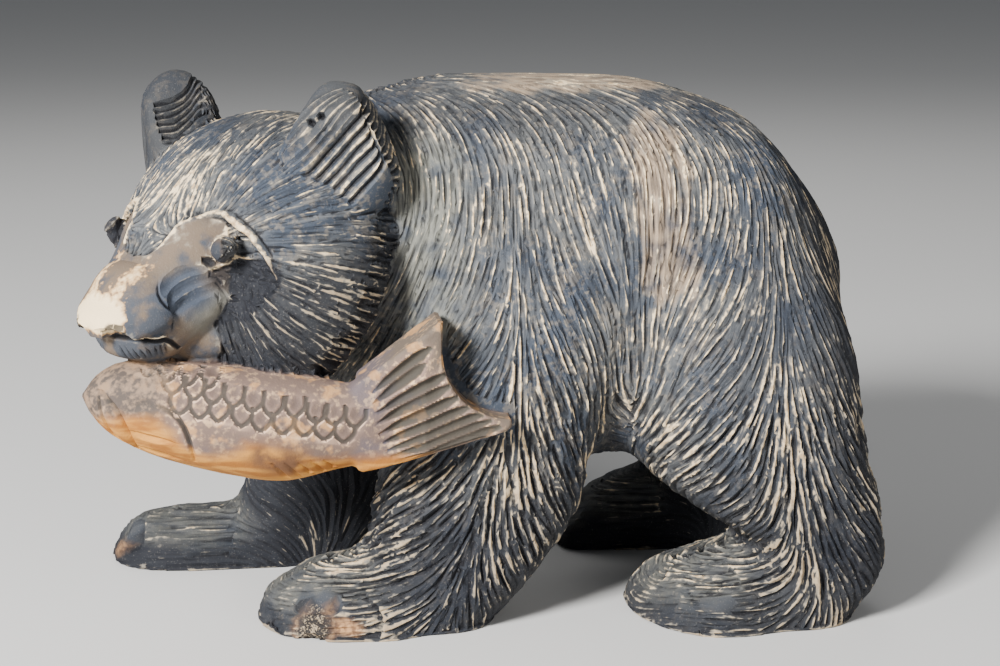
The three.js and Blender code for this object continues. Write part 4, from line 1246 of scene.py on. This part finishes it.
# The places of the face are given for its left half, and mirrored.
one_cheek = in_skull * [1, 0, 1] + np.abs(in_skull[:, 1:2]) * [0, 1, 0]
eyeballs = near(one_cheek, (0.4, 21.0, 0.0), (-1.4, 21.4, -0.6), 4.2, 4.0, 0.6)
black = strongest(black, near(one_cheek, (3.4, 16.5, -2.4), (3.0, 16.6, -3.2), 1.3, 1.0, 0.4))
bare = spots(one_cheek, [
    (1, (28, 0, -5), (26.5, 5, -7.5), 4.5, 4.5, 2.5),
    (0.5, (22, 4, -3), (12, 6, 0.2), 4.0, 3.0, 2.5),
])
slate = strongest(
    on_face * smooth(one_cheek[:, 0], 2, 8) * near(one_cheek, (13, 13, -7), (6, 16, -7), 5.5, 5.5, 1.5),
    0.6 * facets,
    0.45 * near(points, (66, -40, 88), (58, -46, 56), 14, 16, 12),
)
brown = strongest(worn_top, 0.9 * near(points, (33, -36, 130), (37, -44, 90), 11, 8, 8))
cheek_plane = near(one_cheek, (9, 14, -16), (5, 17, -14), 4, 5, 1.2) * on_face
dusty = strongest(near(points, (-22, -34, 118), (-26, -44, 84), 9, 9, 6) * (1 - on_skull), cheek_plane)
for form in limbs.values():
    front = form["leg"](z)[0]
    paw_top = smooth(normals[:, 2], 0.2, 0.7) * smooth(front + 4 - x, 0, 6) * smooth(-z, -26, -20)
    dusty = strongest(dusty, 0.7 * paw_top * (y * form["side"] > 0))
big_chip = chips[0], chips[0] + [1, 0, 0]
chipped = near(points, *big_chip, 4.4, 4.4, 0.5)
chip_rim = near(points, *big_chip, 5.6, 5.6, 0.4) * (1 - near(points, *big_chip, 4.7, 4.7, 0.3))
orange = strongest(0.5 * chip_rim, spots(points, [
    (1, (-46.2, -46.5, 4.3), (-43.5, -47.5, 3.2), 2.2, 2.2, 0.8),
    (0.5, (-106, 24, 5), (-105, 28, 3.5), 2.4, 2.4, 1.2),
]))

# Hands have rubbed the crests most along the partings of shoulder and thigh and at a few other places.
rubbed = strongest(
    np.exp(-(((x - shoulder_lines[-1](z)[0]) / 7) ** 2)), np.exp(-(((x - thigh_lines[-1](z)[0]) / 7) ** 2)),
)
rubbed *= (0.5 * smooth(-z, -112, -90) + 0.5 * smooth(-z, -74, -56)) * smooth(-y, 20, 30)
rubbed_spots = spots(points, [
    (0.6, (55, -33, 113), (57, -44, 84), 6, 7, 5),
    (0.5, (20, -36, 128), (12, -46, 92), 6, 6, 5),
    (1, (-44, -46, 5), (-28, -50, 4), 6, 7, 3),
    (1, (-49.6, -32.5, 16.4), (-47, -36, 15.5), 2.2, 2, 1),
])
bottom_edge = smooth(2.8 - z, 0, 1.6)
rubbed = strongest(rubbed, rubbed_spots, bottom_edge, 0.5 * forehead * (1 - on_any_ear), 0.5 * brown)

# Darker where hands don't reach and low down: thicker stain on the rough cheek, the toe caps and the
# eyeballs, and painted shade underneath, inside the legs, behind on the rump and on the far side.
thick_stain_and_shade = 0.9 * rasped + 0.7 * toe_caps + 0.6 * eyeballs
thick_stain_and_shade += 0.95 * on_skull * (1 - on_face) * smooth(-above_eyes, 0, 14)
thick_stain_and_shade += 0.7 * np.maximum(underneath, inner) * (1 - on_salmon) * (1 - on_skull)
thick_stain_and_shade = strongest(
    thick_stain_and_shade,
    0.95 * smooth(-z, -70, -24) * (1 - on_salmon),
    smooth(x, 58, 86),
    1.1 * smooth(y, -24, 4) * smooth(-z, -88, -40) * (1 - on_salmon),
    0.8 * (on_any_ear - near_ear),
    0.6 * smooth(z, 118, 132) * (1 - brown),
    0.5 * near(points, (66, -40, 88), (60, -46, 50), 14, 16, 12),
    0.9 * on_face * smooth(-15 - beside_eyes, 0, 1) * smooth(above_eyes, -8, -5),
)
thick_stain_and_shade *= 1 - 0.6 * dusty

# The wash ends below the scales, lowest behind the gill and low again towards the tail. Rows: distance
# from the snout, height of its lower edge.
along_fish, above_snout, _ = ((points - snout) @ fish_axes.T).T
wash_end = rails([(0, -6), (12, -2), (20, -1.5), (25, -6.5), (31, -9.5), (38, -8), (42, -5), (52, -7),
                  (60, -8.5), (76, -7)])
belly = on_salmon * smooth(wash_end(along_fish)[0] - above_snout, -1.2, 1.2)
anal_fin_ends = from_salmon(np.array([(45, -8.5, 1), (52, -10, 1)]))
tawny = on_salmon * near(points, *anal_fin_ends, 4, 4, 2)
on_tail = smooth(gap["fish"] - gap["fin"], 0, 2)

# The lie of the fur in the bear's side view, as the cosine and sine of twice its angle from upright.
lie = np.concatenate([comb(*batch) for batch in zip(np.array_split(points, 8), np.array_split(normals, 8))])
lie_angle = 2 * np.arctan2(lie[:, 0], lie[:, 2])

paints = {
    "crest": crest, "salmon": on_salmon, "bare": bare, "slate": slate, "brown": brown, "dusty": dusty,
    "thick_stain_and_shade": thick_stain_and_shade, "belly": belly, "black": black, "pale_wood_and_highlight": pale_wood_and_highlight, "streak": streak, "tone": tone,
    "rubbed": rubbed, "tawny": tawny, "orange": orange, "chip": chipped, "furred": furred,
    "hollow": hollow * on_salmon,
    "skin": on_face * (1 - slate) * (1 - 0.8 * cheek_plane),
    "lie_cos": np.cos(lie_angle),
    "lie_sin": np.sin(lie_angle),
    "fish_head": on_salmon * smooth(-along_fish, -24, -18),
    "tail": on_salmon * on_tail,
}

# ---------------------------------------------------------------- mesh
# The carved skin, thinned to fewer triangles: freely on the far side, less on the near one, hardly on the
# face and the salmon, and not at all on the scales, the tail's rays and the near eye.

carved = points - drift + normals * (raised - sunk)[:, None]
carved[:, 2] = np.maximum(carved[:, 2], 0)

# The model's own origin, in mm from the sawing lines.
origin = np.array([-5.896, -3.452, 0.0])
metres = 0.001
mesh = bpy.data.meshes.new("bear_with_salmon_carved")
mesh.vertices.add(len(carved))
mesh.vertices.foreach_set("co", ((carved - origin) * metres).astype(np.float32).ravel())
mesh.loops.add(quads.size)
mesh.loops.foreach_set("vertex_index", quads.astype(np.int32).ravel())
mesh.polygons.add(len(quads))
mesh.polygons.foreach_set("loop_start", np.arange(0, quads.size, 4, dtype=np.int32))
mesh.update(calc_edges=True)
for name, values in paints.items():
    layer = mesh.attributes.new(name, "FLOAT", "POINT")
    layer.data.foreach_set("value", np.clip(values, -4, 4).astype(np.float32))
bear = bpy.data.objects.new("bear_with_salmon_carving", mesh)
bpy.context.scene.collection.objects.link(bear)

triangle_budget = 195000
whole_faces = on_salmon * np.maximum(smooth(scale_cut, 0.02, 0.1), smooth(gap["fish"] - gap["fin"], 0, 1))
whole_faces = np.maximum(whole_faces, near(in_skull, (0, 21, 0), (-1, 21, 0), 6, 6, 0.5))
kept = 0.1 + 0.85 * np.maximum(on_salmon, 0.9 * on_face)
kept += (1 - kept) * whole_faces
thinned_by = np.round(20 * (1 - kept * (1 - plain))) / 20
group = bear.vertex_groups.new(name="thin_freely")
for level in np.unique(thinned_by):
    group.add(np.flatnonzero(thinned_by == level).tolist(), level, "REPLACE")
thinning = bear.modifiers.new("fewer_faces", "DECIMATE")
thinning.vertex_group = group.name
thinning.vertex_group_factor = 2e-4
thinning.ratio = triangle_budget / (2 * len(quads))
thinned = bpy.data.meshes.new_from_object(bear.evaluated_get(bpy.context.evaluated_depsgraph_get()))
bear.modifiers.clear()
bear.data = thinned
bear.data.polygons.foreach_set("use_smooth", np.ones(len(bear.data.polygons), bool))
bear.data.set_sharp_from_angle(angle=np.radians(30))

# ---------------------------------------------------------------- stained wood
# Blue-black stain over pale wood, worn off the crests of the fur by hands. The salmon has only a thin wash,
# and the nose is bare. A coat of colour covers what is under it by a share from 0 to 1.

wood = bpy.data.materials.new("stained_wood")
wood.use_nodes = True
nodes, links = wood.node_tree.nodes, wood.node_tree.links
shader = nodes["Principled BSDF"]
place = nodes.new("ShaderNodeTexCoord").outputs["Object"]


def feed(socket, value):
    """Gives a socket a number, a colour or another socket's output."""
    if isinstance(value, bpy.types.NodeSocket):
        links.new(value, socket)
    elif isinstance(value, tuple):
        socket.default_value = (*value, 1.0)
    else:
        socket.default_value = value


def mask(name):
    """The share of a paint at each place of the carving."""
    node = nodes.new("ShaderNodeAttribute")
    node.attribute_name = name
    return node.outputs["Fac"]


def speckle(scale, detail, stretch=(1, 1, 1), angle=0, mapping="POINT"):
    """Noise of about 1 / scale metres. As a point mapping, its grain is longer along an axis whose stretch
    is less than 1; as a texture mapping, along one whose stretch is more, turned by the angle about Y."""
    stretched = nodes.new("ShaderNodeMapping")
    stretched.vector_type = mapping
    stretched.inputs["Rotation"].default_value = (0, angle, 0)
    stretched.inputs["Scale"].default_value = stretch
    links.new(place, stretched.inputs["Vector"])
    node = nodes.new("ShaderNodeTexNoise")
    links.new(stretched.outputs["Vector"], node.inputs["Vector"])
    node.inputs["Scale"].default_value = scale
    node.inputs["Detail"].default_value = detail
    return node.outputs["Fac"]


def worked(operation, a, b):
    """Two values put together by a Math node."""
    node = nodes.new("ShaderNodeMath")
    node.operation = operation
    feed(node.inputs[0], a)
    feed(node.inputs[1], b)
    return node.outputs["Value"]


def times(a, b):
    """Product of two values."""
    return worked("MULTIPLY", a, b)


def total(*terms):
    """Sum of values, each by itself or with its weight."""
    terms = [times(*term) if isinstance(term, tuple) else term for term in terms]
    so_far = terms[0]
    for term in terms[1:]:
        so_far = worked("ADD", so_far, term)
    return so_far


def rise(value, low, high):
    """0 below low and 1 above high, smoothly."""
    node = nodes.new("ShaderNodeMapRange")
    node.interpolation_type = "SMOOTHSTEP"
    feed(node.inputs["Value"], value)
    node.inputs["From Min"].default_value = low
    node.inputs["From Max"].default_value = high
    return node.outputs["Result"]


def over(under, top, share, strength=1.0):
    """A coat of colour over another, by a share from 0 to 1 of a strength."""
    node = nodes.new("ShaderNodeMix")
    node.data_type = "RGBA"
    feed(node.inputs["Factor"], share if strength == 1.0 else times(share, strength))
    feed(node.inputs["A"], under)
    feed(node.inputs["B"], top)
    return node.outputs["Result"]


def hairs_at(angle):
    """Noise drawn out into hairs along the line at an angle from upright in the bear's side view."""
    return speckle(1500, 1, (1, 5, 14), angle, "TEXTURE")


# The fur's finest hairs: of the noises along eight lines, the one that lies as the fur does.
hairs = hairs_at(0)
lie_cos, lie_sin = mask("lie_cos"), mask("lie_sin")
for angle in np.radians(np.arange(22.5, 180, 22.5)):
    alike = total((lie_cos, float(np.cos(2 * angle))), (lie_sin, float(np.sin(2 * angle))))
    hairs = over(hairs, hairs_at(angle), rise(alike, 0.88, 0.97))
hairs = over((0.5, 0.5, 0.5), hairs, mask("furred"))

height = mask("crest")
sunken = times(height, -1.0)
patches = speckle(40, 3)
blotches = speckle(170, 3)
flecks = speckle(700, 2)
dots = speckle(2400, 2)

# The stain: blue-black where it lies thick, greyer where it is thin, in streaks along the fur, and
# nearly black in the cuts' bottoms, where it pools and where shade is painted as well.
thick_stain, thin_stain = (0.042, 0.052, 0.070), (0.100, 0.102, 0.100)
grey_streak, tan_mottle, dust = (0.17, 0.17, 0.165), (0.23, 0.195, 0.15), (0.17, 0.168, 0.142)
slate_grey, rubbed_brown = (0.048, 0.058, 0.078), (0.36, 0.26, 0.17)
blue_skin, brown_skin = (0.052, 0.058, 0.070), (0.140, 0.102, 0.072)
black_stain_and_shade, hair_shadow, cut_shadow = (0.012, 0.013, 0.017), (0.014, 0.016, 0.021), (0.007, 0.007, 0.009)
stain = over(thick_stain, thin_stain, rise(patches, 0.38, 0.60))
stain = over(stain, grey_streak, rise(mask("tone"), 0.35, 0.9), 0.5)
stain = over(stain, tan_mottle, rise(total(flecks, blotches), 0.98, 1.18), 0.4)
stain = over(stain, dust, mask("dusty"), rise(blotches, 0.25, 0.6))
stain = over(stain, slate_grey, mask("slate"))
browned = total((mask("brown"), 0.8), (blotches, 0.9), (mask("tone"), 0.35))
stain = over(stain, rubbed_brown, rise(browned, 0.95, 1.35), 0.85)
stain = over(stain, over(blue_skin, brown_skin, rise(total(patches, blotches), 0.86, 1.08)), mask("skin"))
# Thick stain, and painted shade underneath, inside the legs, on the rump and on the far side: all but black.
stain = over(stain, black_stain_and_shade, mask("thick_stain_and_shade"), 0.9)
stain = over(stain, hair_shadow, rise(times(hairs, -1.0), -0.50, -0.38), 0.5)
# Pooled stain and painted shade in the bottoms of the cuts.
stain = over(stain, cut_shadow, rise(sunken, 0.0, 0.8), 0.82)

# Handling: the crests of the cuts are worn, first to a thin tan and then to bare wood, in streaks and flecks.
wear = total(
    (patches, 0.9), (blotches, 0.5), (flecks, 0.4), (mask("streak"), 0.36), (hairs, 0.9),
    (mask("rubbed"), 0.25), (rise(height, -0.3, 1.2), 0.5), (mask("thick_stain_and_shade"), -0.15), (mask("skin"), 0.14),
)
worn_tan, wood_tan, wood_cream = (0.30, 0.26, 0.20), (0.50, 0.34, 0.18), (0.86, 0.67, 0.41)
grimed_and_shaded_wood, grey_dots = (0.27, 0.205, 0.135), (0.42, 0.40, 0.36)
rot, rot_grain = (0.020, 0.017, 0.015), (0.34, 0.26, 0.17)
cream = over(wood_tan, wood_cream, rise(flecks, 0.36, 0.60))
# Worn crests are darker where the stain is thick and where shade is painted.
cream = over(cream, grimed_and_shaded_wood, mask("thick_stain_and_shade"), 0.85)
fur_colour = over(stain, worn_tan, rise(wear, 1.72, 1.92), 0.7)
lined = total((mask("pale_wood_and_highlight"), 0.55), (total(blotches, flecks), 0.35))
fur_colour = over(fur_colour, cream, worked("MAXIMUM", rise(wear, 1.88, 2.0), rise(lined, 0.74, 0.90)))
fur_colour = over(fur_colour, grey_dots, rise(dots, 0.62, 0.70), 0.1)
rotten = over(rot, rot_grain, rise(total(dots, flecks), 1.0, 1.2))
fur_colour = over(fur_colour, rotten, mask("chip"), 0.9)

# The salmon has only a thin wash: mauve-brown above, bare orange wood with rings of grain below. The wash
# is darker in each scale's hollow and worn off its rim, and a painted highlight runs under each scale's edge.
rings = speckle(420, 2, (0.15, 0.6, 1))
mauve_wash, tail_wash, blue_wash = (0.105, 0.072, 0.060), (0.085, 0.075, 0.058), (0.055, 0.058, 0.085)
mauve_rim, worn_rim, rusty = (0.24, 0.158, 0.12), (0.74, 0.48, 0.27), (0.52, 0.27, 0.10)
hollow_stain, rim_highlight = (0.045, 0.038, 0.030), (0.72, 0.48, 0.32)
belly_dark, belly_light = (0.29, 0.108, 0.018), (0.50, 0.225, 0.042)
head_dark, head_light = (0.060, 0.050, 0.042), (0.22, 0.150, 0.100)
fin_stain, deep_cut_dark = (0.13, 0.062, 0.030), (0.050, 0.040, 0.030)
hollow_colour = over(mauve_wash, tail_wash, mask("tail"))
hollow_colour = over(hollow_colour, blue_wash, rise(patches, 0.52, 0.6), 0.8)
rim_colour = over(mauve_rim, worn_rim, rise(total(flecks, (blotches, 0.6)), 0.80, 1.0))
scale_colour = over(hollow_colour, rim_colour, rise(height, -0.6, 1.1))
scale_colour = over(scale_colour, rusty, rise(blotches, 0.56, 0.64), 0.6)
scale_colour = over(scale_colour, hollow_stain, rise(mask("hollow"), 0.12, 0.4), 0.8)
# The painted highlight under each scale's edge.
scale_colour = over(scale_colour, rim_highlight, rise(mask("pale_wood_and_highlight"), 0.2, 0.6), 0.7)
head_colour = over(head_dark, head_light, rise(total(blotches, flecks), 0.85, 1.12))
scale_colour = over(scale_colour, head_colour, mask("fish_head"), 0.8)
fish_colour = over(scale_colour, over(belly_dark, belly_light, rise(rings, 0.38, 0.62)), mask("belly"))
fish_colour = over(fish_colour, fin_stain, mask("tawny"), rise(blotches, 0.3, 0.55))
# Darker in the deepest cuts.
fish_colour = over(fish_colour, deep_cut_dark, rise(sunken, 0.9, 2.6), 0.9)

# Bare wood at the nose, orange wood where a foot is chipped, and black stain in holes and lines.
grain_dark, grain_light = (0.42, 0.235, 0.10), (0.88, 0.68, 0.40)
orange_dark, orange_light, pitch_black = (0.20, 0.10, 0.045), (0.50, 0.27, 0.12), (0.010, 0.010, 0.012)
colour = over(fur_colour, fish_colour, mask("salmon"))
naked = total(mask("bare"), (total(blotches, flecks), 0.6))
colour = over(colour, over(grain_dark, grain_light, rise(naked, 0.98, 1.35)), rise(naked, 0.98, 1.1))
colour = over(colour, over(orange_dark, orange_light, rise(flecks, 0.35, 0.6)), mask("orange"), 0.85)
colour = over(colour, pitch_black, rise(mask("black"), 0.1, 0.5), 0.88)
feed(shader.inputs["Base Color"], colour)
shader.inputs["Roughness"].default_value = 0.75
shader.inputs["Specular IOR Level"].default_value = 0.22

bump = nodes.new("ShaderNodeBump")
bump.inputs["Strength"].default_value = 0.5
bump.inputs["Distance"].default_value = 0.0002
feed(bump.inputs["Height"], total(dots, flecks, (hairs, 2.0)))
links.new(bump.outputs["Normal"], shader.inputs["Normal"])
bear.data.materials.clear()
bear.data.materials.append(wood)

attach(bear, "root")
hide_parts("bear_with_salmon")
